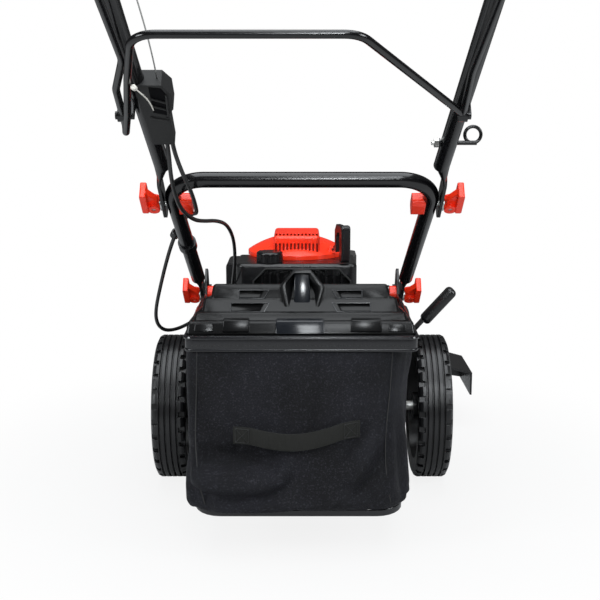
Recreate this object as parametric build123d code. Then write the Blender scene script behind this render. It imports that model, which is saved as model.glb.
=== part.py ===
from build123d import *
import os
from math import cos, radians, sin, tan

# Walk-behind rear-bag mower. X to the right, Y forward, Z up, millimetres and degrees.
# The origin is on the ground, in the middle plane, level with the crankshaft.

# Wheels and cranked axles
rear_axle_y = -290
front_axle_y = 270
rear_wheel_r = 120
rear_wheel_width = 55
rear_wheel_x = 214
front_wheel_r = 90
front_wheel_width = 45
front_wheel_x = 212
axle_r = 8
axle_fit = 0.05
crank_throw = 45
crank_rise = 25
crank_arm_x = 168
crank_bend = 14
link_ear_length = 90
lever_thickness = 4
lever_width = 22
lever_knee_z = 236
lever_tip_x = 247
lever_tip_z = 308

# Deck
sheet = 2.5
chamber_r = 236
skirt_z = 35
deck_top = 150
deck_round = 28
apron_half = 150
apron_front_y = 362
apron_top = 120
apron_skirt_z = 45
chute_half = 148
chute_start_y = -120
mouth_y = -302
mouth_top = 292
mouth_low = 150
chute_floor_y = -205
chute_floor_z = 85
spout_x = 226
spout_rear_y = -35
spout_front_y = 115
spout_low_z = 60
spout_top_z = 121
deflector_reach = 331
deflector_low_z = 63

# Handle brackets and rear flap
bracket_x = 156.5
bracket_sheet = 4
flap_pin_y = -226
flap_pin_z = 308
flap_pin_r = 3
flap_end_y = -330
flap_sheet = 3
hook_peg_y = -313
hook_peg_z = 285
hook_peg_r = 4

# Engine
engine_x = -10
crank_r = 12.5
flange_r = 88
flange_top = 164
case_r = 74
case_top = 258
blower_r = 90
blower_top = 338
recoil_r = 93
dome_rim = 346
dome_top = 375
louvre_half = 43
louvre_rear_y = -75
louvre_front_y = 52
louvre_top = 381
louvre_round = 7
louvre_slits = 12
louvre_pitch = 6.9
slit_width = 3.4
pulley_r = 40
pulley_low = 343
pulley_high = 361
tank_left = -119.5
tank_right = 99.5
tank_rear_y = -135
tank_front_y = -20
tank_low = 205
tank_top = 338
recess_half = 88
recess_top = 329
recess_low = 218
recess_corner = 22
recess_depth = 18
recess_ribs = 11
cap_x = -59
cap_y = -110
cap_r = 24
cap_low = 331
cap_high = 358
head_y = 150
head_end_y = 184
fin_half = 50
filter_left = -146
filter_right = -104
filter_rear_y = -15
filter_front_y = 75
filter_low = 230
filter_top = 321
muffler_right = 109
muffler_top = 322
blade_half_length = 222
blade_width = 52
blade_sheet = 4
blade_z = 62
adapter_top = 92

# Grass bag
bag_front_y = -318
bag_rear_y = -639
bag_top = 300
bag_low = 67
bag_half = 156
bag_wall = 3
lid_front_y = -306
lid_slope = 0.2
lid_crest_set_in = 70
lid_crest_z = 379
lid_crest_half = 126
lid_gap = 0.3
grip_top = 402
strap_width = 25
strap_left = -92
strap_right = 86
strap_z = 186
strap_stand = 16

# Handle
handle_lean = 38
handle_pivot_y = -290
handle_pivot_z = 311
handle_half = 164
handle_splay = 0.0645
tube_r = 11
tube_wall = 1.5
flat_half = 13
flat_sheet = 5
leg_start = 60
neck_length = 22
lower_bar = 346
lower_bend = 48
clamp_at = 284
upper_start = 380
upper_neck = 42
upper_flat_start = 258
upper_flat_x = 194.5
grip_at = 990
grip_bend = 60
foam_r = 17
foam_half = 150
bolt_r = 4
cross_pin_r = 3
pin_fit = 0.1
free_fit = 0.3
washer = 3
washer_r = 10
cam_r = 9
cam_half = 11
lever_bar = (7.3, 16.5)
lever_reach = 37
lever_tail = 7
lever_web_half = 5
nut_length = 34
nut_height = 22
bail_r = 4.6
bail_pivot = 520
bail_stand = -21
bail_tilt = 12
bail_bar = 955
bail_pin_r = 3
box_start = 446
box_split = 502
box_end = 566
box_inner_x = -158
box_stand = 12
cable_r = 3
guide_at = 433
guide_ring_r = 10.5
guide_wire_r = 2.25
clip_at = 168
speed_pin = 800

# Derived values
lean = radians(handle_lean)
rise = radians(crank_rise)
rear_pivot = (rear_axle_y + crank_throw * cos(rise), rear_wheel_r - crank_throw * sin(rise))
front_pivot = (front_axle_y + crank_throw * cos(rise), front_wheel_r - crank_throw * sin(rise))
ear_step = (link_ear_length * sin(rise), link_ear_length * cos(rise))
base_up = (Align.CENTER, Align.CENTER, Align.MIN)
bracket_outer = bracket_x + bracket_sheet
flat_inner = handle_half - flat_sheet / 2
flat_outer = handle_half + flat_sheet / 2
upper_flat_outer = upper_flat_x + flat_sheet - 0.5
lid_crest_y = bag_rear_y + lid_crest_set_in
normal = Vector(0, sin(lean), cos(lean))
along_tube = Vector(0, -cos(lean), sin(lean))


def block(x, y, z):
    """Box between the given low and high values on each axis."""
    place = Pos((x[0] + x[1]) / 2, (y[0] + y[1]) / 2, (z[0] + z[1]) / 2)
    return place * Box(x[1] - x[0], y[1] - y[0], z[1] - z[0])


def upright(x, y, low, high, radius):
    """Standing cylinder."""
    return Pos(x, y, low) * Cylinder(radius, high - low, align=base_up)


def rod(start, end, radius):
    """Round rod between two points."""
    start = Vector(*start)
    end = Vector(*end)
    return Plane(origin=start, z_dir=end - start) * Cylinder(radius, (end - start).length, align=base_up)


def side_shape(points, low, high):
    """Outline of (y, z) points, extruded across the machine."""
    outline = Polyline(*[(low, y, z) for y, z in points], close=True)
    return extrude(make_face(outline), amount=high - low, dir=(1, 0, 0))


def rear_shape(points, low, high):
    """Outline of (x, z) points, extruded along the machine."""
    outline = Polyline(*[(x, low, z) for x, z in points], close=True)
    return extrude(make_face(outline), amount=high - low, dir=(0, 1, 0))


def bent_tube(points, bends, radius, bore=0):
    """Tube of straight runs and tangent arcs."""
    path = FilletPolyline(*points, radius=bends)
    section = Plane(origin=path @ 0, z_dir=path % 0) * Circle(radius)
    solid = sweep(section, path=path)
    if bore:
        hole = Plane(origin=path @ 0, z_dir=path % 0) * Circle(bore)
        solid -= sweep(hole, path=path)
    return solid


def both_sides(solid):
    """A piece and its mirror image on the left."""
    return [solid, mirror(solid, about=Plane.YZ)]


def on_handle(x, along, stand=0):
    """Point on the handle: across, up the tube from its pivot, and off its plane towards the front."""
    y = handle_pivot_y - along * cos(lean) + stand * sin(lean)
    z = handle_pivot_z + along * sin(lean) + stand * cos(lean)
    return (x, y, z)


def leg_x(along):
    """Half spacing of the handle's legs."""
    return handle_half + handle_splay * along


def handle_side(x):
    """Plane across the machine at an x, along the handle from its pivot."""
    along = (0, -cos(lean), sin(lean))
    return Plane(origin=(x, handle_pivot_y, handle_pivot_z), x_dir=along, z_dir=(1, 0, 0))


def handle_plate(low, high, start, end, half):
    """Flat bar with round ends that lies along the handle."""
    outline = handle_side(low) * Pos((start + end) / 2, 0) * SlotOverall(end - start, 2 * half)
    return extrude(outline, amount=high - low)


def bar_between(low, high, start, end, half):
    """Flat bar with round ends between two (y, z) points."""
    run = Vector(0, end[0] - start[0], end[1] - start[1])
    plane = Plane(origin=(low, start[0], start[1]), x_dir=run, z_dir=(1, 0, 0))
    outline = plane * Pos(run.length / 2, 0) * SlotOverall(run.length + 2 * half, 2 * half)
    return extrude(outline, amount=high - low)


def cable_bends(points):
    """Largest radius that each corner of a cable's route allows."""
    bends = []
    for before, here, after in zip(points, points[1:], points[2:]):
        first = Vector(*here) - Vector(*before)
        second = Vector(*after) - Vector(*here)
        turn = radians(first.get_angle(second))
        bends.append(0.45 * min(first.length, second.length) / tan(turn / 2))
    return bends


def cable(points):
    """Bowden cable along its route."""
    return bent_tube(points, cable_bends(points), cable_r)


# Deck shell: pressed chamber, front apron, rear chute and side spout in one sheet
def chute_outline(inset):
    return [
        (chute_start_y, deck_top - inset),
        (mouth_y - inset / 2, mouth_top - inset),
        (mouth_y - inset / 2, mouth_low + inset),
        (chute_floor_y, chute_floor_z + inset),
        (chute_start_y, chute_floor_z + inset),
    ]


def chamber(radius, low, high, rounding):
    solid = upright(engine_x, 0, low, high, radius)
    return fillet(solid.edges().group_by(Axis.Z)[-1], rounding)


def apron(inset):
    solid = block(
        (-apron_half + inset, apron_half - inset),
        (0, apron_front_y - inset),
        (apron_skirt_z - inset, apron_top - inset),
    )
    return fillet(solid.edges().filter_by(Axis.Z).group_by(Axis.Y)[-1], 30 - inset)


chamber_outer = chamber(chamber_r, skirt_z, deck_top, deck_round)
chute_outer = side_shape(chute_outline(0), -chute_half, chute_half)
spout_outer = block((spout_x - 50, spout_x), (spout_rear_y, spout_front_y), (spout_low_z, spout_top_z))
deck_shell = chamber_outer + apron(0) + chute_outer + spout_outer
deck_shell -= chamber(chamber_r - sheet, skirt_z - 1, deck_top - sheet, deck_round - sheet)
deck_shell -= apron(sheet) - chamber_outer
deck_shell -= side_shape(chute_outline(sheet + 0.5), -chute_half + sheet, chute_half - sheet)
deck_shell -= block(
    (spout_x - 60, spout_x + 1),
    (spout_rear_y + sheet, spout_front_y - sheet),
    (spout_low_z + sheet, spout_top_z - sheet),
)
deck_shell -= upright(engine_x, 0, deck_top - 20, deck_top + 1, crank_r + 8)
front_cross = rod((-200, *front_pivot), (200, *front_pivot), axle_r + 1.5)
deck_shell -= front_cross
bolt_circle = flange_r - 10
bolt_turns = [radians(angle) for angle in (45, 135, 225, 315)]
bolt_places = [(engine_x + bolt_circle * cos(turn), bolt_circle * sin(turn)) for turn in bolt_turns]
for x, y in bolt_places:
    deck_shell -= upright(x, y, deck_top - 20, deck_top + 1, bolt_r + pin_fit)

# The deflector's hinge pin runs through two lugs on the spout
hinge_x = spout_x + 6
hinge_z = spout_top_z + 8
hinge_pin_r = 3
lug_sheet = 5
for y in (spout_rear_y, spout_front_y - lug_sheet):
    lug = block((spout_x - 8, hinge_x + 5), (y, y + lug_sheet), (spout_top_z - sheet, hinge_z + 5))
    deck_shell += lug - block((spout_x, hinge_x + 6), (y - 1, y + lug_sheet + 1), (0, spout_top_z + 2))
deck_shell += rod((hinge_x, spout_rear_y, hinge_z), (hinge_x, spout_front_y, hinge_z), hinge_pin_r)

# Side deflector: barrel, sloping roof, outer lip and front wall
barrel_low = spout_rear_y + lug_sheet + free_fit
barrel_high = spout_front_y - lug_sheet - free_fit
roof = [
    (hinge_x, hinge_z + 4.5),
    (deflector_reach, hinge_z - 22),
    (deflector_reach, deflector_low_z),
    (deflector_reach - 3.5, deflector_low_z),
    (deflector_reach - 3.5, hinge_z - 25),
    (hinge_x, hinge_z + 1),
]
side_deflector = rear_shape(roof, barrel_low, barrel_high)
wall_low = spout_x + 8
front_wall = [
    (wall_low, hinge_z - 2),
    (deflector_reach - 2, hinge_z - 24),
    (deflector_reach - 2, deflector_low_z),
    (wall_low, deflector_low_z + 14),
]
side_deflector += rear_shape(front_wall, barrel_high - 3, barrel_high)
hinge_barrel_r = 5.5
side_deflector += rod((hinge_x, barrel_low, hinge_z), (hinge_x, barrel_high, hinge_z), hinge_barrel_r)
barrel_ends = ((hinge_x, barrel_low - 1, hinge_z), (hinge_x, barrel_high + 1, hinge_z))
side_deflector -= rod(*barrel_ends, hinge_pin_r + pin_fit)

# Axle bearings: four blocks under the deck that the cranked axles turn in
bearing_half = 13
bearing_inner = 120
bearings = []
for pivot, outer, high in ((rear_pivot, 142, 135), (front_pivot, apron_half - sheet, apron_top - sheet)):
    bearing = block(
        (bearing_inner, outer),
        (pivot[0] - bearing_half, pivot[0] + bearing_half),
        (pivot[1] - bearing_half, high),
    )
    bearing -= chute_outer
    bearing -= rod((bearing_inner - 1, *pivot), (outer + 1, *pivot), axle_r + axle_fit)
    bearings += both_sides(bearing)


# Cranked axles: one bent rod each, with an ear for the height link on the left
link_ear_x = (-165, -161)
link_bar_x = (-169.6, -165.3)


def cranked_axle(pivot, stub, stub_end):
    points = [
        (-stub_end, *stub),
        (-crank_arm_x, *stub),
        (-crank_arm_x, *pivot),
        (crank_arm_x, *pivot),
        (crank_arm_x, *stub),
        (stub_end, *stub),
    ]
    axle = bent_tube(points, crank_bend, axle_r)
    tip = (pivot[0] + ear_step[0], pivot[1] + ear_step[1])
    ear = bar_between(*link_ear_x, pivot, tip, 10)
    axle += ear - rod((-200, *tip), (-100, *tip), bolt_r + free_fit)
    for side in (-1, 1):
        axle += rod((side * (stub_end - 4), *stub), (side * stub_end, *stub), axle_r + 3.5)
    return axle


hub_set_back = 14
rear_stub_end = rear_wheel_x + rear_wheel_width / 2 - hub_set_back + 4.5
front_stub_end = front_wheel_x + front_wheel_width / 2 - hub_set_back + 4.5
rear_axle = cranked_axle(rear_pivot, (rear_axle_y, rear_wheel_r), rear_stub_end)
front_axle = cranked_axle(front_pivot, (front_axle_y, front_wheel_r), front_stub_end)

rear_tip = (rear_pivot[0] + ear_step[0], rear_pivot[1] + ear_step[1])
front_tip = (front_pivot[0] + ear_step[0], front_pivot[1] + ear_step[1])
height_link = bar_between(*link_bar_x, rear_tip, front_tip, 7)
for tip in (rear_tip, front_tip):
    height_link += rod((link_bar_x[0], *tip), (link_ear_x[1], *tip), bolt_r)

# Height lever: steel arm beside the right wheel, bent outwards above the tyre
arm_x = (crank_arm_x + axle_r + 0.3, crank_arm_x + axle_r + 0.3 + lever_thickness)
arm_end = (rear_pivot[0], lever_knee_z - lever_width / 2)
height_lever = bar_between(*arm_x, rear_pivot, arm_end, lever_width / 2)
lean_run = Vector(lever_tip_x - arm_x[0], 0, lever_tip_z - lever_knee_z + 8)
lean_plane = Plane(
    origin=(arm_x[0], rear_pivot[0], lever_knee_z - 8),
    x_dir=lean_run,
    z_dir=Vector(lean_run.Z, 0, -lean_run.X),
)
paddle = lean_plane * Pos(lean_run.length / 2, 0) * SlotOverall(lean_run.length + lever_width, lever_width)
above_knee = block((0, 400), (-400, 0), (lever_knee_z - 10, 400))
height_lever += extrude(paddle, amount=lever_thickness) & above_knee
rivet_z = lever_knee_z - 14
rivet_r = 4
height_lever += rod((arm_x[1] - 1, rear_pivot[0], rivet_z), (arm_x[1] + 2.5, rear_pivot[0], rivet_z), rivet_r)


# Wheels: one moulding each, ribbed in the middle with notched shoulders
def wheel(radius, width, lugs):
    half = width / 2
    rim_r = radius * 0.72
    hub_r = axle_r + 14
    rib = width * 0.165
    groove = 1.6
    deep = 4
    outline = [
        (axle_r + pin_fit, half - hub_set_back),
        (hub_r, half - hub_set_back),
        (hub_r, 5),
        (rim_r, 5),
        (rim_r + 3, half - 2),
        (radius - 8, half),
        (radius - 2, half - 3),
        (radius, half - 7),
    ]
    for k in (1.5, 0.5, -0.5, -1.5):
        outline += [
            (radius, k * rib + groove),
            (radius - deep, k * rib + groove * 0.6),
            (radius - deep, k * rib - groove * 0.6),
            (radius, k * rib - groove),
        ]
    outline += [
        (radius, -half + 7),
        (radius - 2, -half + 3),
        (radius - 8, -half),
        (rim_r + 3, -half + 2),
        (rim_r, -5),
        (hub_r, -5),
        (hub_r, -half + 1),
        (axle_r + pin_fit, -half + 1),
    ]
    face = make_face(Polyline(*[(r, 0, a) for r, a in outline], close=True))
    solid = revolve(face, axis=Axis.Z)
    reach = half - 1.5 * rib - 2 * groove
    notch = Box(2 * 6, radius * 0.075, reach + 2)
    cuts = []
    for k in range(lugs):
        for side in (-1, 1):
            turn = (k + 0.25 * side) * 360 / lugs
            cuts.append(Rot(0, 0, turn) * Pos(radius, 0, side * (half + 1 - reach / 2)) * notch)
    return solid - cuts


def hubcap(width):
    face_at = width / 2 - hub_set_back
    cap = Pos(0, 0, face_at) * Cylinder(axle_r + 14, 12, align=base_up)
    cap = fillet(cap.edges().group_by(Axis.Z)[-1], 6)
    return cap - Pos(0, 0, face_at - 1) * Cylinder(axle_r + 5.5, 8.5, align=base_up)


def on_axle(solid, x, y, z):
    placed = Pos(abs(x), y, z) * Rot(0, 90, 0) * solid
    return placed if x > 0 else mirror(placed, about=Plane.YZ)


rear_wheel = wheel(rear_wheel_r, rear_wheel_width, 30)
front_wheel = wheel(front_wheel_r, front_wheel_width, 24)
wheel_nodes = {}
for name, solid, width, x, y, z in (
    ("rear", rear_wheel, rear_wheel_width, rear_wheel_x, rear_axle_y, rear_wheel_r),
    ("front", front_wheel, front_wheel_width, front_wheel_x, front_axle_y, front_wheel_r),
):
    for side, sign in (("left", -1), ("right", 1)):
        wheel_nodes[f"{name}_wheel_{side}"] = on_axle(solid, sign * x, y, z)
        wheel_nodes[f"{name}_hubcap_{side}"] = on_axle(hubcap(width), sign * x, y, z)

# Handle brackets: upright fins bolted to the chute's sides, with a peg for the bag's hook
fin = [
    (-222, 150),
    (-222, 215),
    (-252, 300),
    (-276, 350),
    (-290, 356),
    (-306, 338),
    (-318, 290),
    (-322, 215),
    (-300, 150),
]
bracket = side_shape(fin, bracket_x, bracket_outer)
bracket = fillet(bracket.edges().filter_by(Axis.X), 5)
bracket += block((chute_half, bracket_x), (-298, -226), (154, 196))
bracket += rod((bracket_x, hook_peg_y, hook_peg_z), (bracket_x - 12, hook_peg_y, hook_peg_z), hook_peg_r)
pivot = (handle_pivot_y, handle_pivot_z)
bracket -= rod((bracket_x - 1, *pivot), (bracket_outer + 1, *pivot), bolt_r + pin_fit)
flap_bore = rod((100, flap_pin_y, flap_pin_z), (200, flap_pin_y, flap_pin_z), flap_pin_r)
bracket -= flap_bore
flap_ear_half = 8
flap_ear = block(
    (bracket_x, bracket_outer),
    (flap_pin_y - flap_ear_half, flap_pin_y + flap_ear_half),
    (flap_pin_z - 60, flap_pin_z + flap_ear_half),
)
bracket += flap_ear - flap_bore
handle_bracket_right, handle_bracket_left = both_sides(bracket)

# Rear flap on its rod: closes the chute, and lies on the lid's front edge while the bag hangs there
flap_rod_ends = ((-bracket_outer, flap_pin_y, flap_pin_z), (bracket_outer, flap_pin_y, flap_pin_z))
flap_rod = rod(*flap_rod_ends, flap_pin_r)
crest_front_z = lid_crest_z - (lid_front_y - lid_crest_y) * lid_slope


def lid_height(y):
    return crest_front_z + (lid_front_y - y) * lid_slope


flap_half = bracket_x - 14.5
flap_points = [
    (flap_pin_y, lid_height(flap_pin_y) + lid_gap),
    (flap_end_y, lid_height(flap_end_y) + lid_gap),
    (flap_end_y, lid_height(flap_end_y) + lid_gap + flap_sheet),
    (flap_pin_y, lid_height(flap_pin_y) + lid_gap + flap_sheet),
]
rear_flap = side_shape(flap_points, -flap_half, flap_half)
rear_flap += rod((-flap_half, flap_pin_y, flap_pin_z), (flap_half, flap_pin_y, flap_pin_z), flap_pin_r + 4)
rear_flap -= rod((-200, flap_pin_y, flap_pin_z), (200, flap_pin_y, flap_pin_z), flap_pin_r + pin_fit)

# Engine block: mounting flange, crankcase and finned cylinder pointing forward
engine_block = upright(engine_x, 0, deck_top, flange_top, flange_r)
engine_block += upright(engine_x, 0, flange_top, case_top, case_r)
cylinder_half = 36
cylinder_rear_y = 50
cylinder_height = (184, 256)
cylinder_span = (engine_x - cylinder_half, engine_x + cylinder_half)
engine_block += block(cylinder_span, (cylinder_rear_y, head_y), cylinder_height)
fin_count = 7
fin_low = 185
fin_pitch = 11
fin_sheet = 3
fin_rear_y = 78
fin_span = (engine_x - fin_half, engine_x + fin_half)
for k in range(fin_count):
    z = fin_low + k * fin_pitch
    engine_block += block(fin_span, (fin_rear_y, head_y), (z, z + fin_sheet))
engine_block -= upright(engine_x, 0, deck_top - 1, case_top + 1, crank_r + axle_fit)
for x, y in bolt_places:
    engine_block -= upright(x, y, deck_top - 1, flange_top + 1, bolt_r + pin_fit)
bolt_room_r = 9.5
case_relief = [upright(x, y, flange_top, case_top + 1, bolt_room_r) for x, y in bolt_places]
engine_block -= case_relief
bolt_head_r = 8
bolt_head = 6
engine_bolts = []
for x, y in bolt_places:
    head = Pos(x, y, flange_top) * extrude(RegularPolygon(bolt_head_r, 6), amount=bolt_head)
    engine_bolts.append(head + upright(x, y, deck_top - sheet - 8, flange_top, bolt_r))

# Cylinder head with its rocker cover, and the spark plug in its front face
head_half = 46
head_height = (180, 262)
cylinder_head = block((engine_x - head_half, engine_x + head_half), (head_y, head_end_y), head_height)
cylinder_head = fillet(cylinder_head.faces().sort_by(Axis.Y)[-1].edges(), 8)
plug_x = engine_x + 24
plug_z = 221
plug_seat_r = 7
plug_seat = (plug_x, head_end_y - 12, plug_z)
cylinder_head -= rod(plug_seat, (plug_x, head_end_y + 1, plug_z), plug_seat_r + axle_fit)
spark_plug = rod(plug_seat, (plug_x, head_end_y + 6, plug_z), plug_seat_r)
plug_hexagon = extrude(RegularPolygon(11, 6), amount=8)
spark_plug += Plane(origin=(plug_x, head_end_y + 6, plug_z), z_dir=(0, 1, 0)) * plug_hexagon
plug_cap_r = 9
spark_plug += rod((plug_x, head_end_y + 14, plug_z), (plug_x, head_end_y + 36, plug_z), plug_cap_r)

# Silencer on the right, its pipe running back to the cylinder
muffler_left = muffler_right - 39
muffler_run = (62, 150)
muffler_low = 222
muffler_round = 14
muffler = block((muffler_left, muffler_right), muffler_run, (muffler_low, muffler_top))
muffler = fillet(muffler.edges().filter_by(Axis.Z), muffler_round)
pipe_run = (112, 136)
pipe_height = (228, 250)
muffler += block((engine_x + fin_half, muffler_left + 9), pipe_run, pipe_height)

# Carburettor and air filter box on the left, with a lug that holds the stop cable
carburettor_run = (filter_front_y, filter_front_y + 50)
carburettor_height = (228, 256)
carburettor = block((filter_left + 26, engine_x - fin_half), carburettor_run, carburettor_height)
bowl_x = -92
bowl = (bowl_x, filter_front_y + 18)
bowl_r = 14
carburettor += rod((*bowl, carburettor_height[0] - bowl_r), (*bowl, carburettor_height[0]), bowl_r)
filter_box = block((filter_left, filter_right), (filter_rear_y, filter_front_y), (filter_low, filter_top))
filter_box = fillet(filter_box.edges().filter_by(Axis.Y), 8)
lug_top = filter_low + 14
filter_box += block((-140, -122), (-72, filter_rear_y), (lug_top - 8, lug_top))
air_filter_box = filter_box

# Blower housing round the flywheel, open below and under the starter
blower_housing = upright(engine_x, 0, case_top, blower_top, blower_r)
blower_housing -= upright(engine_x, 0, case_top + sheet, blower_top - sheet, blower_r - sheet)
blower_housing -= upright(engine_x, 0, case_top - 1, case_top + sheet + 1, case_r - 14)
blower_housing -= upright(engine_x, 0, blower_top - sheet - 1, blower_top + 1, blower_r - 30)

# Fuel tank: wraps the back of the blower housing, with a ribbed recess in its rear face
fuel_tank = block((tank_left, tank_right), (tank_rear_y, tank_front_y), (tank_low, tank_top))
fuel_tank = fillet(fuel_tank.edges().filter_by(Axis.Z).group_by(Axis.Y)[0], 14)
fuel_tank = fillet(fuel_tank.faces().sort_by(Axis.Y)[0].edges().filter_by(Axis.X).sort_by(Axis.Z)[-1:], 6)
fuel_tank -= upright(engine_x, 0, tank_low - 1, tank_top + 1, recoil_r + 0.5)
recess = [
    (-recess_half, recess_low + recess_corner),
    (-recess_half, recess_top - recess_corner),
    (-recess_half + recess_corner, recess_top),
    (recess_half - recess_corner, recess_top),
    (recess_half, recess_top - recess_corner),
    (recess_half, recess_low + recess_corner),
    (recess_half - recess_corner, recess_low),
    (-recess_half + recess_corner, recess_low),
]
recess_hole = rear_shape(recess, tank_rear_y - 1, tank_rear_y + recess_depth)
fuel_tank -= recess_hole
rib_step = 2 * recess_half / (recess_ribs + 1)
rib_half = 2
for k in range(recess_ribs):
    x = -recess_half + (k + 1) * rib_step
    rib_run = (tank_rear_y + 7, tank_rear_y + recess_depth + 1)
    rib = block((x - rib_half, x + rib_half), rib_run, (recess_low - 1, recess_top + 1))
    fuel_tank += rib & recess_hole
neck_r = cap_r - 6
fuel_tank += upright(cap_x, cap_y, tank_top - 4, cap_low + 18, neck_r)
fuel_cap = upright(cap_x, cap_y, tank_top + free_fit, cap_high, cap_r)
fuel_cap = fillet(fuel_cap.edges().group_by(Axis.Z)[-1], 4)
fuel_cap -= upright(cap_x, cap_y, tank_top, cap_low + 18 + free_fit, neck_r + free_fit)
cap_ribs = 20
flute = Pos(cap_r + 0.6, 0, 0) * Cylinder(2, 22, align=base_up)
fuel_cap -= [Pos(cap_x, cap_y, cap_low) * Rot(0, 0, k * 360 / cap_ribs) * flute for k in range(cap_ribs)]

# Recoil starter: domed red cover with a raised louvre and a rope outlet, rope pulley on its post
def dome(inset):
    rise_of_dome = dome_top - dome_rim
    dome_r = (recoil_r**2 + rise_of_dome**2) / (2 * rise_of_dome)
    drum = upright(engine_x, 0, blower_top - inset, dome_top, recoil_r - inset)
    return drum & (Pos(engine_x, 0, dome_top - dome_r) * Sphere(dome_r - inset))


def louvre(inset):
    return block(
        (engine_x - louvre_half + inset, engine_x + louvre_half - inset),
        (louvre_rear_y + inset, louvre_front_y - inset),
        (blower_top - inset, louvre_top - inset),
    )


louvre_outer = fillet(louvre(0).edges().filter_by(Axis.Z), louvre_round)
louvre_outer = fillet(louvre_outer.faces().sort_by(Axis.Z)[-1].edges(), louvre_round - 1)
cover = dome(0) + louvre_outer
cover -= dome(sheet)
cover -= louvre(sheet)
slit_low = dome_rim + 5
slit_high = louvre_top - 2 * louvre_round
slit_front_y = louvre_rear_y + 45
for k in range(louvre_slits):
    slit_x = engine_x + (k - (louvre_slits - 1) / 2) * louvre_pitch
    slit_span = (slit_x - slit_width / 2, slit_x + slit_width / 2)
    cover -= block(slit_span, (louvre_rear_y - 1, louvre_rear_y + 2 * sheet), (slit_low, slit_high))
    slit_run = (louvre_rear_y + louvre_round, slit_front_y)
    cover -= block(slit_span, slit_run, (louvre_top - 2 * sheet, louvre_top + 1))
post_r = 6
post_low = pulley_low - 3
cover += upright(engine_x, 0, post_low, louvre_top - 1, post_r)
cover += upright(engine_x, 0, post_low, pulley_low - free_fit, post_r + 4)
pull = Vector(150, -571, 226).normalized()
rope_start = Vector(61, -74, 359)
rope_r = 2
outlet_in = 36
outlet_out = 14
outlet_r = 7.5
cover += rod(rope_start - pull * outlet_in, rope_start - pull * outlet_out, outlet_r)
recoil_cover = cover - rod(rope_start - pull * 60, rope_start + pull * 60, rope_r + free_fit)
recoil_pulley = upright(engine_x, 0, pulley_low, pulley_high, pulley_r + 4)
groove_mid = (pulley_low + pulley_high) / 2
recoil_pulley -= upright(engine_x, 0, groove_mid - 4, groove_mid + 4, pulley_r + 5) - upright(
    engine_x, 0, groove_mid - 4, groove_mid + 4, pulley_r
)
recoil_pulley -= upright(engine_x, 0, pulley_low - 1, pulley_high + 1, post_r + pin_fit)

# Starter grip: upright bar joined over the top to a thin leg, where the rope ends in a ferrule
grip_run = Vector(pull.X, pull.Y, 0).normalized()
grip_plane = Plane(
    origin=(rope_start.X, rope_start.Y, 0), x_dir=grip_run, z_dir=grip_run.cross(Vector(0, 0, 1))
)
grip_low = 340.5
grip_high = 408
grip_bar = (54, 72)
grip_bar_half = 8.5
grip_leg = (12, 21)
grip_leg_half = 4
grip_leg_low = 354
grip_bridge = 14
bar_middle = (grip_bar[0] + grip_bar[1]) / 2
bar_outline = Pos(bar_middle, (grip_low + grip_high) / 2) * RectangleRounded(
    grip_bar[1] - grip_bar[0], grip_high - grip_low, 7
)
bar = extrude(grip_plane * bar_outline, amount=grip_bar_half, both=True)
leg_outline = [
    (grip_leg[0], grip_leg_low),
    (grip_leg[0], grip_high - grip_bridge),
    (grip_leg[0] + 10, grip_high - 2),
    (bar_middle, grip_high - 2),
    (bar_middle, grip_high - grip_bridge - 2),
    (grip_leg[1] + 9, grip_high - grip_bridge - 2),
    (grip_leg[1], grip_high - grip_bridge - 11),
    (grip_leg[1], grip_leg_low),
]
leg_face = grip_plane * make_face(Polyline(*leg_outline, close=True))
ferrule_start = 4
ferrule_end = 20
starter_grip = fillet(bar.edges().group_by(Axis.Z)[-1], 3)
starter_grip += extrude(leg_face, amount=grip_leg_half, both=True)
starter_grip += rod(rope_start + pull * ferrule_start, rope_start + pull * ferrule_end, 4.5)
starter_rope = rod(rope_start - pull * 20, rope_start + pull * ferrule_start, rope_r)

# Crankshaft with flywheel, blade adapter, blade and bolt
crankshaft = upright(engine_x, 0, blade_z + blade_sheet, 330, crank_r)
bolt_hole_r = 5
crankshaft -= upright(engine_x, 0, blade_z, blade_z + 34, bolt_hole_r + axle_fit)
flywheel_low = 292
flywheel_top = 318
flywheel_r = 70
vane_count = 16
vane = Pos(56, 0, 0) * Box(22, 3, 10, align=base_up)
flywheel = upright(engine_x, 0, flywheel_low, flywheel_top, flywheel_r)
vane_turns = [Rot(0, 0, k * 360 / vane_count) for k in range(vane_count)]
flywheel += [Pos(engine_x, 0, flywheel_top) * turn * vane for turn in vane_turns]
flywheel -= upright(engine_x, 0, flywheel_low - 1, flywheel_top + 1, crank_r + axle_fit)
blade_adapter = upright(engine_x, 0, blade_z + blade_sheet, adapter_top, 25)
blade_adapter -= upright(engine_x, 0, blade_z, adapter_top + 1, crank_r + axle_fit)
blade_straight = 90
blade_outline = [
    (-blade_half_length, -blade_width / 2 + 8),
    (-blade_straight, -blade_width / 2),
    (blade_straight, -blade_width / 2),
    (blade_half_length, -blade_width / 2),
    (blade_half_length, blade_width / 2 - 8),
    (blade_straight, blade_width / 2),
    (-blade_straight, blade_width / 2),
    (-blade_half_length, blade_width / 2),
]
blade_face = make_face(Polyline(*[(engine_x + x, y, blade_z) for x, y in blade_outline], close=True))
blade = extrude(blade_face, amount=blade_sheet, dir=(0, 0, 1))
wing_at = 175
wing_tilt = 25
wing_size = (90, 14, 3)
for sign in (-1, 1):
    foot = (engine_x + sign * wing_at, -sign * (blade_width / 2 - 1), blade_z + blade_sheet)
    blade += Pos(*foot) * Rot(-sign * wing_tilt, 0, 0) * Box(*wing_size)
inside_tips = upright(engine_x, 0, blade_z - 20, blade_z + 40, blade_half_length)
blade = blade & inside_tips
blade -= upright(engine_x, 0, blade_z - 1, blade_z + blade_sheet + 1, bolt_hole_r + axle_fit)
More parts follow.
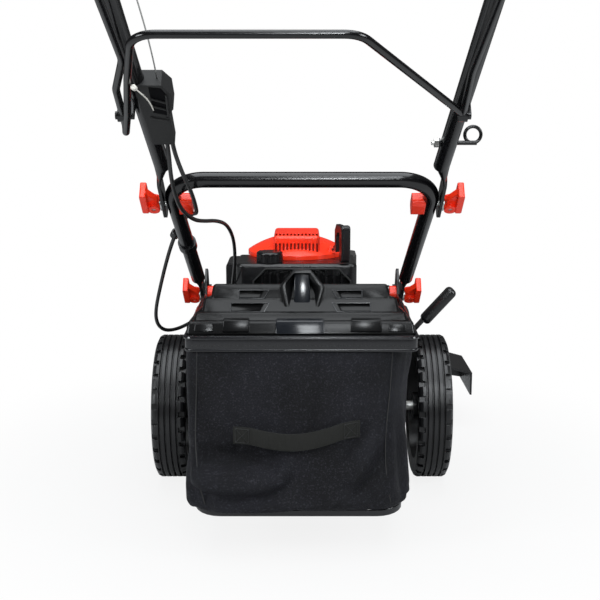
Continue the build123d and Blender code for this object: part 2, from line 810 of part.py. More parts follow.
blade_bolt = Pos(engine_x, 0, blade_z - 9) * extrude(RegularPolygon(11, 6), amount=9)
blade_bolt += upright(engine_x, 0, blade_z, blade_z + 30, bolt_hole_r)


# Grass bag: fabric body with an open front, wire frame, moulded lid and a webbing strap
def bag_section(y, half, low, inset):
    centre = (bag_top + low) / 2
    plane = Plane(origin=(0, y, centre), x_dir=(1, 0, 0), z_dir=(0, -1, 0))
    return plane * RectangleRounded(2 * (half - inset), bag_top - low - 2 * inset, 26 - inset)


mid_y = (bag_front_y + bag_rear_y) / 2
bag_outer = loft(
    [
        bag_section(bag_front_y, bag_half - 8, bag_low + 28, 0),
        bag_section(mid_y, bag_half + 2, bag_low + 4, 0),
        bag_section(bag_rear_y, bag_half, bag_low, 0),
    ]
)
bag_outer = fillet(bag_outer.faces().sort_by(Axis.Y)[0].edges(), 14)
bag_inner = loft(
    [
        bag_section(bag_front_y + 1, bag_half - 8, bag_low + 28, bag_wall),
        bag_section(mid_y, bag_half + 2, bag_low + 4, bag_wall),
        bag_section(bag_rear_y + bag_wall + 2, bag_half, bag_low, bag_wall + 6),
    ]
)
bag_body = bag_outer - bag_inner

frame_half = bag_half - 16
frame_low = bag_low + 40
frame_high = bag_top - 6
frame_y = bag_front_y + 4.5
frame_wire = 3.5
frame_points = [
    (0, frame_y, frame_high),
    (-frame_half, frame_y, frame_high),
    (-frame_half, frame_y, frame_low),
    (frame_half, frame_y, frame_low),
    (frame_half, frame_y, frame_high),
    (1, frame_y, frame_high),
]
bag_frame = bent_tube(frame_points, 20, frame_wire)
ear_low = hook_peg_z + hook_peg_r + lid_gap
hook_ear = block((frame_half - 14, bracket_x - 4), (frame_y - 3, frame_y + 3), (ear_low, frame_high + 2))
bag_frame += both_sides(hook_ear)


def lid_layer(half, rear_y, top, foot_lean):
    drop = (lid_front_y - rear_y) * lid_slope
    points = [
        (lid_front_y, bag_top + lid_gap),
        (lid_front_y, max(top - drop, bag_top + 6)),
        (rear_y, top),
        (rear_y - foot_lean, bag_top + lid_gap),
    ]
    solid = side_shape(points, -half, half)
    return fillet(solid.faces().sort_by(Axis.Y)[0].edges().filter_by(Axis.X, reverse=True), 10)


bag_lid = lid_layer(lid_crest_half, lid_crest_y, lid_crest_z, 14)
bag_lid += lid_layer(lid_crest_half + 12.6, lid_crest_y - 16, lid_crest_z - 16, 12)
bag_lid += lid_layer(lid_crest_half + 22, lid_crest_y - 32, lid_crest_z - 34, 8)
bag_lid += lid_layer(bag_half, lid_crest_y - 56, lid_crest_z - 42, 4)
plan = [
    (-bag_half + 14, lid_front_y + 1),
    (bag_half - 14, lid_front_y + 1),
    (bag_half + 1, lid_front_y - 120),
    (bag_half + 1, lid_crest_y - 80),
    (-bag_half - 1, lid_crest_y - 80),
    (-bag_half - 1, lid_front_y - 120),
]
plan_face = make_face(Polyline(*[(x, y, bag_top - 10) for x, y in plan], close=True))
bag_lid = bag_lid & extrude(plan_face, amount=200, dir=(0, 0, 1))
clip_rear_y = lid_crest_y - 62
clip_spans = ((-35, 31), (-121, -72), (66, 116), (-155, -145), (145, 155))
for low, high in clip_spans:
    bag_lid += block((low, high), (clip_rear_y, lid_crest_y - 50), (lid_crest_z - 60, lid_crest_z - 44))
# Raised grip scoop in the middle of the lid
scoop = [(-22, 342), (-32, lid_crest_z), (-12, grip_top), (12, grip_top), (32, lid_crest_z), (22, 342)]
scoop_rear_y = lid_crest_y - 24
scoop_front_y = lid_crest_y + 90
scoop_block = rear_shape(scoop, scoop_rear_y, scoop_front_y)
scoop_clip = [
    (scoop_rear_y - 1, 330),
    (scoop_rear_y - 1, 344),
    (lid_crest_y - 6, grip_top),
    (scoop_front_y, lid_height(scoop_front_y) - 2),
    (scoop_front_y, 330),
]
bag_lid += scoop_block & side_shape(scoop_clip, -40, 40)
scoop_hole = [
    (-15, 346),
    (-26, lid_crest_z),
    (-9, grip_top - 4),
    (9, grip_top - 4),
    (26, lid_crest_z),
    (15, 346),
]
bag_lid -= rear_shape(scoop_hole, scoop_rear_y - 10, lid_crest_y + 22)
bag_lid += block((-10, 10), (lid_crest_y + 8, lid_crest_y + 24), (344, grip_top - 5))
# Vent slots, and the hollow under the lid
for low, high, z, y in ((45, 88, 359, -12), (42, 100, 342, -26)):
    for sign in (-1, 1):
        cut = block((low, high), (lid_crest_y + y - 12, lid_crest_y + y + 34), (z, z + 11))
        bag_lid -= cut if sign > 0 else mirror(cut, about=Plane.YZ)
lid_hollow = [
    (lid_front_y - 10, bag_top - 1),
    (lid_front_y - 10, crest_front_z - 14),
    (lid_crest_y + 26, lid_crest_z - 22),
    (lid_crest_y - 8, lid_crest_z - 34),
    (lid_crest_y - 28, lid_crest_z - 50),
    (lid_crest_y - 28, bag_top - 1),
]
bag_lid -= side_shape(lid_hollow, -lid_crest_half + 8, lid_crest_half - 8)

strap_y = bag_rear_y - 0.3
strap_mid = (strap_left + strap_right) / 2
strap_sheet = 2.5
strap_low = strap_z - strap_width / 2
pad = 18
outer_arc = ThreePointArc(
    (strap_left + pad, strap_y - strap_sheet, strap_low),
    (strap_mid, strap_y - strap_stand - strap_sheet, strap_low),
    (strap_right - pad, strap_y - strap_sheet, strap_low),
)
inner_arc = ThreePointArc(
    (strap_right - pad - 4, strap_y, strap_low),
    (strap_mid, strap_y - strap_stand, strap_low),
    (strap_left + pad + 4, strap_y, strap_low),
)
strap_ends = [
    Polyline(
        (strap_right - pad, strap_y - strap_sheet, strap_low),
        (strap_right, strap_y - strap_sheet, strap_low),
        (strap_right, strap_y, strap_low),
        (strap_right - pad - 4, strap_y, strap_low),
    ),
    Polyline(
        (strap_left + pad + 4, strap_y, strap_low),
        (strap_left, strap_y, strap_low),
        (strap_left, strap_y - strap_sheet, strap_low),
        (strap_left + pad, strap_y - strap_sheet, strap_low),
    ),
]
strap_face = make_face([outer_arc, strap_ends[0], inner_arc, strap_ends[1]])
bag_strap = extrude(strap_face, amount=strap_width, dir=(0, 0, 1))


# Lower handle: one tube bent to an arch, its ends pressed flat on the brackets
def handle_tube(start, bar, bend, radius, bore=0):
    points = [
        on_handle(-leg_x(start), start),
        on_handle(-leg_x(bar), bar),
        on_handle(leg_x(bar), bar),
        on_handle(leg_x(start), start),
    ]
    return bent_tube(points, bend, radius, bore)


def flat_neck(tube_at, flat_at, low, high):
    """Tapered stretch from the round tube down to its flattened end."""
    round_plane = Plane(origin=on_handle(leg_x(tube_at), tube_at), x_dir=(1, 0, 0), z_dir=along_tube)
    flat_plane = Plane(origin=on_handle((low + high) / 2, flat_at), x_dir=(1, 0, 0), z_dir=along_tube)
    thickness = high - low - 2 * neck_set_in
    flat_end = RectangleRounded(thickness, 2 * (flat_half - neck_set_in), 0.4 * thickness)
    return loft([flat_plane * flat_end, round_plane * Circle(tube_r - 0.1)])


def flattened_end(tube_at, length, end, low, high):
    flat_at = tube_at - length
    plate = handle_plate(low, high, end, flat_at + flat_half, flat_half)
    return both_sides(plate + flat_neck(tube_at, flat_at, low, high))


clamp_point = on_handle(0, clamp_at)[1:]
neck_overlap = 6
neck_set_in = 0.3
lower_handle = handle_tube(leg_start, lower_bar, lower_bend, tube_r, tube_r - tube_wall)
lower_handle += flattened_end(leg_start + neck_overlap, neck_length, -flat_half, flat_inner, flat_outer)
lower_handle -= rod((-200, *pivot), (200, *pivot), bolt_r + axle_fit)
lower_handle -= rod((-220, *clamp_point), (220, *clamp_point), bolt_r + axle_fit)

# Upper handle: the U that carries the grip, with flat ends outside the lower legs
upper_handle = handle_tube(upper_start, grip_at, grip_bend, tube_r, tube_r - tube_wall)
upper_handle += flattened_end(
    upper_start + neck_overlap, upper_neck, upper_flat_start, upper_flat_x, upper_flat_outer
)
upper_handle -= rod((-220, *clamp_point), (220, *clamp_point), bolt_r + pin_fit)
guide_point = on_handle(0, guide_at)[1:]
stem_r = 3
upper_handle -= rod((150, *guide_point), (240, *guide_point), stem_r + axle_fit)

# Bail pivots: a lug and pin on each leg
right_eye_x = (191.5, 202.5)
left_eye_x = (-225.5, -214.5)
bail_lug_r = 5
bail_axis = on_handle(0, bail_pivot, bail_stand)[1:]


def pivot_lug(low, high):
    lug = SlotOverall(2 * bail_lug_r - bail_stand, 2 * bail_lug_r, 90)
    outline = handle_side(low) * Pos(bail_pivot, -bail_stand / 2) * lug
    return extrude(outline, amount=high - low)


upper_handle += pivot_lug(right_eye_x[1] + 0.5, right_eye_x[1] + 4.5)
upper_handle += rod((right_eye_x[1] + 4, *bail_axis), (right_eye_x[0], *bail_axis), bail_pin_r)
upper_handle += pivot_lug(left_eye_x[1] + 0.5, left_eye_x[1] + 9)
upper_handle += rod((left_eye_x[1] + 4, *bail_axis), (left_eye_x[0] - 3, *bail_axis), bail_pin_r)
upper_handle += rod((left_eye_x[0] - 0.5, *bail_axis), (left_eye_x[0] - 3, *bail_axis), bail_pin_r + 2)

# Speed lever on a tab of the left leg
speed_x = -leg_x(speed_pin)
tab_inner = speed_x + tube_r - 2
speed_axis = on_handle(0, speed_pin, 16)[1:]
tab_plane = Plane(
    origin=(tab_inner, handle_pivot_y, handle_pivot_z), x_dir=(0, -cos(lean), sin(lean)), z_dir=(1, 0, 0)
)
upper_handle += extrude(tab_plane * Pos(speed_pin, -10) * Rectangle(22, 26), amount=4)
upper_handle += rod((tab_inner, *speed_axis), (tab_inner + 12, *speed_axis), bail_pin_r)
speed_low = tab_inner + 4.5
speed_tip = on_handle(0, speed_pin + 46, 46)[1:]
speed_lever = bar_between(speed_low, speed_low + 5, speed_axis, speed_tip, 8)
speed_lever -= rod((speed_low - 1, *speed_axis), (speed_low + 6, *speed_axis), bail_pin_r + pin_fit)

foam_grip = rod(on_handle(-foam_half, grip_at), on_handle(foam_half, grip_at), foam_r)
foam_grip -= rod(on_handle(-foam_half - 1, grip_at), on_handle(foam_half + 1, grip_at), tube_r + axle_fit)


# Stop bail: one bent rod that turns back in a hairpin on the left, with an eye at each pivot
def on_bail(x, along, stand_off=0):
    stand = bail_stand - (along - bail_pivot) * tan(radians(bail_tilt))
    return on_handle(x, along, stand - stand_off)


right_mid = (right_eye_x[0] + right_eye_x[1]) / 2
inner_bar = 730
hairpin_low = bail_pivot - 32
hairpin_gap = 10
bail_points = [
    on_bail(right_mid, bail_pivot),
    on_bail(191, bail_pivot + 115),
    on_bail(200, bail_bar),
    on_bail(-203, bail_bar),
    on_bail(-197, bail_pivot + 140),
    on_bail(-216, bail_pivot + 70),
    on_bail(-221, hairpin_low),
    on_bail(-220, hairpin_low, hairpin_gap),
    on_bail(-209, bail_pivot + 25, hairpin_gap),
    on_bail(-195, bail_pivot + 112, hairpin_gap),
    on_bail(-176, inner_bar, hairpin_gap),
    on_bail(-80, inner_bar, hairpin_gap),
]
bail_bends = [60, 40, 40, 60, 60, 4.9, 4.9, 60, 60, 30]
brace_points = [
    on_bail(-80, inner_bar, hairpin_gap),
    on_bail(60, inner_bar, hairpin_gap),
    on_bail(right_mid, bail_pivot + 3),
]
stop_bail = bent_tube(bail_points, bail_bends, bail_r)
stop_bail += bent_tube(brace_points, 30, bail_r)
for eye in (right_eye_x, left_eye_x):
    stop_bail += rod((eye[0], *bail_axis), (eye[1], *bail_axis), bail_pin_r + 5)
    stop_bail -= rod((eye[0] - 9, *bail_axis), (eye[1] + 9, *bail_axis), bail_pin_r + pin_fit)

# Clamps: bolt with washer, red inner nut and red cam lever at each of the four joints
cam_play = 0.4


def clamp_parts(centre, inner_x, outer_x, nut_width):
    middle = Vector(outer_x + washer + cam_r + cam_play, *centre)
    across = normal * (cam_half - 1)
    bolt = rod((inner_x - nut_width / 2, *centre), middle, bolt_r)
    bolt += rod(middle - across, middle + across, cross_pin_r)
    bolt += rod((outer_x + 0.2, *centre), (outer_x + washer, *centre), washer_r)
    cam_plane = Plane(origin=middle, x_dir=along_tube, z_dir=normal)
    lever = extrude(cam_plane * Circle(cam_r), amount=cam_half, both=True)
    bar_run = lever_reach + lever_tail
    bar_middle_at = (lever_reach - lever_tail) / 2
    bar_place = Pos(bar_middle_at, sum(lever_bar) / 2)
    bar_face = cam_plane * bar_place * RectangleRounded(bar_run, lever_bar[1] - lever_bar[0], 2.5)
    lever += extrude(bar_face, amount=cam_half + 1, both=True)
    web = [
        (-lever_tail, 0),
        (0, -cam_r * 0.6),
        (lever_reach / 3, -cam_r * 0.7),
        (lever_reach - 3, lever_bar[0] + 1),
        (-lever_tail, lever_bar[0] + 1),
    ]
    lever += extrude(cam_plane * make_face(Polyline(*web, close=True)), amount=lever_web_half, both=True)
    slot_side = 2 * cam_r
    slot_at = bolt_r + 1 - cam_r
    slot = cam_plane * Pos(slot_at, slot_at) * Rectangle(slot_side, slot_side)
    lever -= extrude(slot, amount=bolt_r + 0.6, both=True)
    lever -= rod(middle - across * 1.5, middle + across * 1.5, cross_pin_r + pin_fit)
    nut_plane = Plane(origin=(inner_x - nut_width, *centre), x_dir=along_tube, z_dir=(1, 0, 0))
    nut = extrude(nut_plane * RectangleRounded(nut_length, nut_height, 8), amount=nut_width)
    nut -= rod((inner_x - nut_width / 2, *centre), (inner_x + 1, *centre), bolt_r + axle_fit)
    return bolt, lever, nut


lower_bolt, lower_lever, lower_nut = clamp_parts(pivot, bracket_x - 0.2, flat_outer, 11.5)
upper_inner = leg_x(clamp_at) - tube_r + 4
upper_bolt, upper_lever, upper_nut = clamp_parts(clamp_point, upper_inner, upper_flat_outer, 19)
upper_nut -= handle_tube(leg_start, lower_bar, lower_bend, tube_r + 0.2)
clamp_bolts = both_sides(lower_bolt) + both_sides(upper_bolt)
clamp_nuts = both_sides(lower_nut) + both_sides(upper_nut)
clamp_lever_lower_right, clamp_lever_lower_left = both_sides(lower_lever)
clamp_lever_upper_right, clamp_lever_upper_left = both_sides(upper_lever)

# Cable box on the left leg, seated round the tube: six-sided housing above a plain block
box_plane = Plane(origin=on_handle(0, 0, -box_stand), x_dir=along_tube, z_dir=normal)
box_outline = [
    (box_split, -leg_x(box_split)),
    (box_split, box_inner_x - 12),
    (box_split + 18, box_inner_x),
    (box_end - 16, box_inner_x),
    (box_end, box_inner_x - 10),
    (box_end, -leg_x(box_end)),
]
block_outline = [
    (box_start, -leg_x(box_start)),
    (box_start, box_inner_x - 6),
    (box_split + 1, box_inner_x - 6),
    (box_split + 1, -leg_x(box_split)),
]


def box_layer(points, height):
    face = make_face(Polyline(*points, close=True))
    return extrude(box_plane * face, amount=height)


cable_box = box_layer(box_outline, 2 * box_stand) + box_layer(block_outline, 1.6 * box_stand)
left_leg = rod(on_handle(-leg_x(upper_start), upper_start), on_handle(-leg_x(900), 900), tube_r + 0.2)
cable_box -= left_leg

# Rope guide: pigtail ring that stands on a stem through the right leg, with a nut inside
guide_outer = leg_x(guide_at) + tube_r
guide_inner = leg_x(guide_at) - tube_r
ring_x = guide_outer + 20
stem_end = 12
nut_r = 6
nut_run = 8
stem_ends = ((guide_inner - stem_end, *guide_point), (ring_x + guide_ring_r / 2, *guide_point))
rope_guide = rod(*stem_ends, stem_r - 0.05)
ring_place = Pos(ring_x, guide_point[0], guide_point[1] + guide_ring_r) * Rot(90, 0, 0)
rope_guide += ring_place * Torus(guide_ring_r, guide_wire_r)
nut_plane = Plane(origin=(guide_inner - 0.4, *guide_point), z_dir=(-1, 0, 0))
rope_guide += extrude(nut_plane * RegularPolygon(nut_r, 6), amount=nut_run)

# Cable clip: band on the left lower leg with an eye that the speed cable runs through
clip_half = 7
clip_wall = 3
eye_r = 7
eye_bore = 4.6
clip_low = clip_at - clip_half
clip_high = clip_at + clip_half
clip_ends = (on_handle(-leg_x(clip_low), clip_low), on_handle(-leg_x(clip_high), clip_high))
cable_clip = rod(*clip_ends, tube_r + clip_wall)
clip_eye = (on_handle(-196.5, clip_at - 5, 18.5), on_handle(-192.7, clip_at + 5, 19))
eye_middle = (Vector(*clip_eye[0]) + Vector(*clip_eye[1])) / 2
cable_clip += rod(on_handle(-leg_x(clip_at), clip_at), eye_middle, 3)
cable_clip += rod(*clip_eye, eye_r)
eye_run = Vector(*clip_eye[1]) - Vector(*clip_eye[0])
cable_clip -= rod(eye_middle - eye_run * 2, eye_middle + eye_run * 2, eye_bore)
bore_low = clip_at - 20
bore_high = clip_at + 20
bore_ends = (on_handle(-leg_x(bore_low), bore_low), on_handle(-leg_x(bore_high), bore_high))
cable_clip -= rod(*bore_ends, tube_r + axle_fit)

# Control cables: each is clamped at the arch of the lower handle, so it has an upper and a lower stretch
stop_bend_above = (-169, -556, 482)
stop_bend_below = (-156.5, -505, 461.5)
stop_tie = tuple((Vector(*stop_bend_above) + Vector(*stop_bend_below)) / 2)
speed_bend_above = (-148, -562, 490)
speed_bend_below = on_handle(-151.5, 268, -6)
speed_tie = tuple((Vector(*speed_bend_above) + Vector(*speed_bend_below)) / 2)
stop_cable_upper = cable(
    [
        on_handle(-175, box_start, -6),
        on_handle(-175, box_start - 22, -6),
        (-175, -612, 534),
        (-174, -585, 509),
        stop_bend_above,
        stop_tie,
    ]
)
stop_cable_lower = cable(
    [
        stop_tie,
        stop_bend_below,
        (-145.5, -465, 455),
        (-131.5, -405, 449),
        (-120, -345, 436),
        (-114, -285, 408),
        (-115, -225, 373),
        (-120, -165, 336),
        (-126, -122, 306),
        (-129, -92, 286),
        (-130, -70, 266),
        (-130, -62, lug_top),
    ]
)
speed_cable_upper = cable(
    [
        on_handle(-168, box_start, -6),
        on_handle(-168, box_start - 22, -6),
        (-160, -612, 538),
        (-151, -585, 510),
        speed_bend_above,
        speed_tie,
    ]
)
speed_cable_lower = cable(
    [
        speed_tie,
        speed_bend_below,
        on_handle(-158.5, 248, 6),
        on_handle(-176, 214, 20),
        on_handle(-194.5, 168, 19),
        (-211, -376, 391),
        (-228, -352, 335),
        (-239, -336, 292),
        (-238, -325, 268),
        (-228, -312, 255),
        (-213, -293, 252),
        (-197, -266, 254),
        (-182, -220, 256),
        (-170, -165, 254),
        (-162, -105, 252),
        (-158, -45, 250),
        (-158, 20, 248),
        (-156, 68, 246),
        (-147, 99, 245),
        (filter_left + 26, 116, 244),
    ]
)

nodes = {
    "deck_shell": deck_shell,
    "axle_bearings": bearings,
    "handle_bracket_left": handle_bracket_left,
    "handle_bracket_right": handle_bracket_right,
    "rear_flap": rear_flap,
    "flap_rod": flap_rod,
    "side_deflector": side_deflector,
    "engine_block": engine_block,
    "cylinder_head": cylinder_head,
    "muffler": muffler,
    "carburettor": carburettor,
    "air_filter_box": air_filter_box,
    "fuel_tank": fuel_tank,
    "fuel_cap": fuel_cap,
    "blower_housing": blower_housing,
    "recoil_cover": recoil_cover,
    "recoil_pulley": recoil_pulley,
    "starter_grip": starter_grip,
    "starter_rope": starter_rope,
    "spark_plug": spark_plug,
    "engine_bolts": engine_bolts,
    "crankshaft": crankshaft,
    "flywheel": flywheel,
    "blade_adapter": blade_adapter,
    "blade": blade,
    "blade_bolt": blade_bolt,
    "rear_axle": rear_axle,
    "height_lever": height_lever,
    "front_axle": front_axle,
    "height_link": height_link,
    "bag_lid": bag_lid,
    "bag_frame": bag_frame,
    "bag_body": bag_body,
    "bag_strap": bag_strap,
    "lower_handle": lower_handle,
    "upper_handle": upper_handle,
    "foam_grip": foam_grip,
    "stop_bail": stop_bail,
    "speed_lever": speed_lever,
    "clamp_lever_lower_left": clamp_lever_lower_left,
    "clamp_lever_lower_right": clamp_lever_lower_right,
    "clamp_lever_upper_left": clamp_lever_upper_left,
    "clamp_lever_upper_right": clamp_lever_upper_right,
    "clamp_bolts": clamp_bolts,
    "clamp_nuts": clamp_nuts,
    "cable_box": cable_box,
    "cable_clip": cable_clip,
    "rope_guide": rope_guide,
    "stop_cable_upper": stop_cable_upper,
    "stop_cable_lower": stop_cable_lower,
    "speed_cable_upper": speed_cable_upper,
    "speed_cable_lower": speed_cable_lower,
    **wheel_nodes,
}

os.makedirs("parts", exist_ok=True)
for name, shape in nodes.items():
    if isinstance(shape, list):
        solids = [solid for piece in shape for solid in piece.solids()]
    else:
        solids = shape.solids()
    export_step(Compound(children=solids) if len(solids) > 1 else solids[0], f"parts/{name}.step")
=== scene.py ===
from math import copysign, cos, pi, radians, sin
import bpy
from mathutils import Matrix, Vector


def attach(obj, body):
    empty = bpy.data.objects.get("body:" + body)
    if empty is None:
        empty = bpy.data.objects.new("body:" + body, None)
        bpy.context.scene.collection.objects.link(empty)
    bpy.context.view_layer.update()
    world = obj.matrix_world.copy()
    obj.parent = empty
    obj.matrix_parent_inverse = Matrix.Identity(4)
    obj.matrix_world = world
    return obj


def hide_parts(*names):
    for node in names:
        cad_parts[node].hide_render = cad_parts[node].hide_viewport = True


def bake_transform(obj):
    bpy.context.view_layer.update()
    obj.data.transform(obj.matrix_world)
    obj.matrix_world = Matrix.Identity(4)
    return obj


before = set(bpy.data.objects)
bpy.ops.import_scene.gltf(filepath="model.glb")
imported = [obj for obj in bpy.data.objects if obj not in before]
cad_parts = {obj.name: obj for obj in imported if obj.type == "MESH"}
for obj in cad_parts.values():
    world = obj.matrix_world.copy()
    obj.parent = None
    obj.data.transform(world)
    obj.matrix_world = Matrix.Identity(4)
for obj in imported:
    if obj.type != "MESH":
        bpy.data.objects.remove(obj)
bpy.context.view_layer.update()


# The studio: a pale floor that runs into a white background, with soft lamps round the machine.
# The camera stands behind the grip at hip height and looks down a little, as the photographer did.
class Shade:
    """An output of a finish's nodes. Python's operators on it add Math nodes."""

    def __init__(self, finish, socket):
        self.finish = finish
        self.socket = socket

    def math(self, operation, *values):
        return self.finish.node("ShaderNodeMath", {"operation": operation}, dict(enumerate(values)))

    def __add__(self, other):
        return self.math("ADD", self, other)

    def __mul__(self, other):
        return self.math("MULTIPLY", self, other)

    def __truediv__(self, other):
        return self.math("DIVIDE", self, other)

    def __lt__(self, other):
        return self.math("LESS_THAN", self, other)

    __radd__ = __add__
    __rmul__ = __mul__

    def root(self):
        return self.math("SQRT", self)

    def wave(self):
        return self.math("SINE", self * (2 * pi))

    def between(self, low, high):
        """0 below low, 1 above high, smooth in the middle."""
        settings = {"interpolation_type": "SMOOTHSTEP"}
        sockets = {"Value": self, "From Min": low, "From Max": high}
        return self.finish.node("ShaderNodeMapRange", settings, sockets)


class Finish:
    """A material whose nodes are added one call at a time."""

    def __init__(self, name):
        self.material = bpy.data.materials.new(name)
        self.material.use_nodes = True
        self.nodes = self.material.node_tree.nodes
        self.links = self.material.node_tree.links
        self.skin = self.nodes["Principled BSDF"]

    def put(self, socket, value):
        if isinstance(value, Shade):
            self.links.new(value.socket, socket)
        elif socket.type == "RGBA":
            socket.default_value = (*value[:3], 1)
        else:
            socket.default_value = value

    def node(self, kind, settings=None, sockets=None, output=0):
        node = self.nodes.new(kind)
        for name, value in (settings or {}).items():
            setattr(node, name, value)
        for name, value in (sockets or {}).items():
            self.put(node.inputs[name], value)
        return Shade(self, node.outputs[output])

    def place(self):
        return self.node("ShaderNodeTexCoord", output="Object")

    def along(self, vector):
        """The x, y and z of a vector."""
        split = self.nodes.new("ShaderNodeSeparateXYZ")
        self.put(split.inputs[0], vector)
        return [Shade(self, split.outputs[axis]) for axis in range(3)]

    def cloud(self, scale, detail=3.0):
        sockets = {"Vector": self.place(), "Scale": scale, "Detail": detail}
        return self.node("ShaderNodeTexNoise", {}, sockets)

    def mix(self, share, first, second):
        return self.node("ShaderNodeMix", {"data_type": "RGBA"}, {0: share, 6: first, 7: second}, output=2)

    def dent(self, height, depth, strength=1.0, edge=0.0):
        sockets = {"Height": height, "Distance": depth, "Strength": strength}
        if edge:
            sockets["Normal"] = self.node("ShaderNodeBevel", {"samples": 4}, {"Radius": edge})
        return self.node("ShaderNodeBump", {}, sockets)

    def skin_is(self, **sockets):
        for name, value in sockets.items():
            self.put(self.skin.inputs[name.replace("_", " ")], value)
        return self


def select_none():
    if bpy.context.object and bpy.context.object.mode != "OBJECT":
        bpy.ops.object.mode_set(mode="OBJECT")
    bpy.ops.object.select_all(action="DESELECT")


def pick(piece):
    """Makes a piece the one that the next operators work on."""
    select_none()
    bpy.context.view_layer.objects.active = piece
    piece.select_set(True)


select_none()
floor_side = 14
floor_glow = 0.86
shadow_middle = 0.25
shadow_reach = (0.25, 0.8)
bpy.ops.mesh.primitive_plane_add(size=floor_side, location=(0, 0, 0))
floor = bpy.context.object
floor.name = "studio_floor"
floor_white = Finish("floor_white")
floor_white.skin_is(Base_Color=(0.5, 0.5, 0.5), Roughness=0.9, Specular_IOR_Level=0.1)
across, back = floor_white.along(floor_white.place())[:2]
spread = (across * across + (back + shadow_middle) * (back + shadow_middle)).root()
ray = floor_white.nodes.new("ShaderNodeLightPath")
seen = Shade(floor_white, ray.outputs["Is Camera Ray"])
glow = floor_white.node("ShaderNodeEmission", {}, {"Color": (1, 1, 1), "Strength": 1.0})
skin = Shade(floor_white, floor_white.skin.outputs[0])
# Near the machine the floor glows less: this lets the real shadow show, and also greys the floor in a disc
# round the machine, a painted shade.
share = seen * (floor_glow + (1 - floor_glow) * spread.between(*shadow_reach))
lifted = floor_white.node("ShaderNodeMixShader", {}, {0: share, 1: skin, 2: glow})
floor_white.put(floor_white.nodes["Material Output"].inputs["Surface"], lifted)
floor.data.materials.append(floor_white.material)

fill_level = 0.09
backdrop_level = 1.0
world = bpy.data.worlds.new("studio_world")
bpy.context.scene.world = world
world.use_nodes = True
sky = world.node_tree
path = sky.nodes.new("ShaderNodeLightPath")
bright = sky.nodes.new("ShaderNodeMath")
bright.operation = "MAXIMUM"
sky.links.new(path.outputs["Is Camera Ray"], bright.inputs[0])
sky.links.new(path.outputs["Is Transmission Ray"], bright.inputs[1])
level = sky.nodes.new("ShaderNodeMapRange")
level.inputs["To Min"].default_value = fill_level
level.inputs["To Max"].default_value = backdrop_level
sky.links.new(bright.outputs[0], level.inputs["Value"])
sky.links.new(level.outputs[0], sky.nodes["Background"].inputs["Strength"])
sky.nodes["Background"].inputs["Color"].default_value = (1, 1, 1, 1)

lamp_white = (0.93, 0.97, 1.0)
for name, place, aim, size, power in (
    ("top_softbox", (0, -0.6, 2.7), (0, -0.4, 0.2), 2.6, 74),
    ("left_softbox", (-2.3, -1.9, 1.5), (0, -0.4, 0.3), 1.0, 42),
    ("right_softbox", (2.3, -1.5, 1.6), (0, -0.3, 0.3), 1.0, 34),
    ("camera_softbox", (0.4, -2.9, 2.6), (0, -0.6, 0.25), 0.9, 29),
    ("flash", (0.10, -2.45, 1.15), (0, -0.5, 0.3), 0.24, 9),
):
    lamp = bpy.data.lights.new(name, "AREA")
    lamp.color = lamp_white
    lamp.size = size
    lamp.energy = power
    holder = bpy.data.objects.new(name, lamp)
    holder.location = place
    holder.rotation_mode = "QUATERNION"
    holder.rotation_quaternion = (Vector(aim) - Vector(place)).to_track_quat("-Z", "Y")
    bpy.context.scene.collection.objects.link(holder)

camera_pitch = radians(11)
sensor = 36
picture = 600
focal_pixels = 1067
middle_column = 302
camera_data = bpy.data.cameras.new("camera")
camera_data.sensor_width = sensor
camera_data.lens = sensor * focal_pixels / picture
camera_data.shift_x = (picture / 2 - middle_column) / picture
camera = bpy.data.objects.new("camera", camera_data)
camera.location = (0, -2.039, 0.642)
camera.rotation_euler = (pi / 2 - camera_pitch, 0, 0)
bpy.context.scene.collection.objects.link(camera)
bpy.context.scene.camera = camera
bpy.context.scene.view_settings.view_transform = "Standard"


# The deck is one sheet-steel pressing, with the handle brackets bolted to the sides of its chute.
# All three are powder coated black, with a faint orange-peel surface. The handles, the bail and the
# height lever have a smoother and glossier coat.
def dress(finish, *nodes):
    for name in nodes:
        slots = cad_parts[name].data.materials
        slots.clear()
        slots.append(finish.material)


def powder_coat(name, shade, roughness, peel):
    coat = Finish(name)
    spots = coat.cloud(900, detail=2)
    worn = coat.cloud(14, detail=5)
    coat.skin_is(
        Base_Color=coat.mix(worn, shade, tuple(1.5 * c for c in shade)),
        Roughness=roughness + 0.08 * worn,
        Normal=coat.dent(spots, peel, strength=0.5, edge=0.0012),
    )
    return coat


coat_black = (0.004, 0.004, 0.0045)
deck_coat = powder_coat("deck_powder_coat", coat_black, roughness=0.36, peel=0.00006)
dress(deck_coat, "deck_shell", "handle_bracket_left", "handle_bracket_right")
tube_coat = powder_coat("tube_powder_coat", (0.003, 0.003, 0.0035), roughness=0.13, peel=0.00002)
dress(tube_coat, "lower_handle", "upper_handle", "stop_bail", "height_lever")


# The wheels are hard mouldings with ribs in the middle of the tread and notched shoulders.
# Each has a push-on cap over the axle's end.
def moulding(name, shade, roughness, grain=0.00008, grain_scale=1500, edge=0.0015):
    plastic = Finish(name)
    pits = plastic.cloud(grain_scale, detail=2)
    handled = plastic.cloud(9, detail=6)
    plastic.skin_is(
        Base_Color=plastic.mix(handled, shade, tuple(1.6 * c for c in shade)),
        Roughness=roughness + 0.14 * handled,
        Normal=plastic.dent(pits, grain, strength=0.8, edge=edge),
    )
    return plastic


wheel_plastic = moulding(
    "wheel_plastic",
    (0.005, 0.005, 0.0055),
    roughness=0.24,
    grain=0.00008,
    grain_scale=700,
)
corners = [(end, side) for end in ("rear", "front") for side in ("left", "right")]
dress(wheel_plastic, *[f"{end}_wheel_{side}" for end, side in corners])
cap_plastic = moulding("cap_plastic", (0.006, 0.006, 0.006), roughness=0.25)
dress(cap_plastic, *[f"{end}_hubcap_{side}" for end, side in corners])


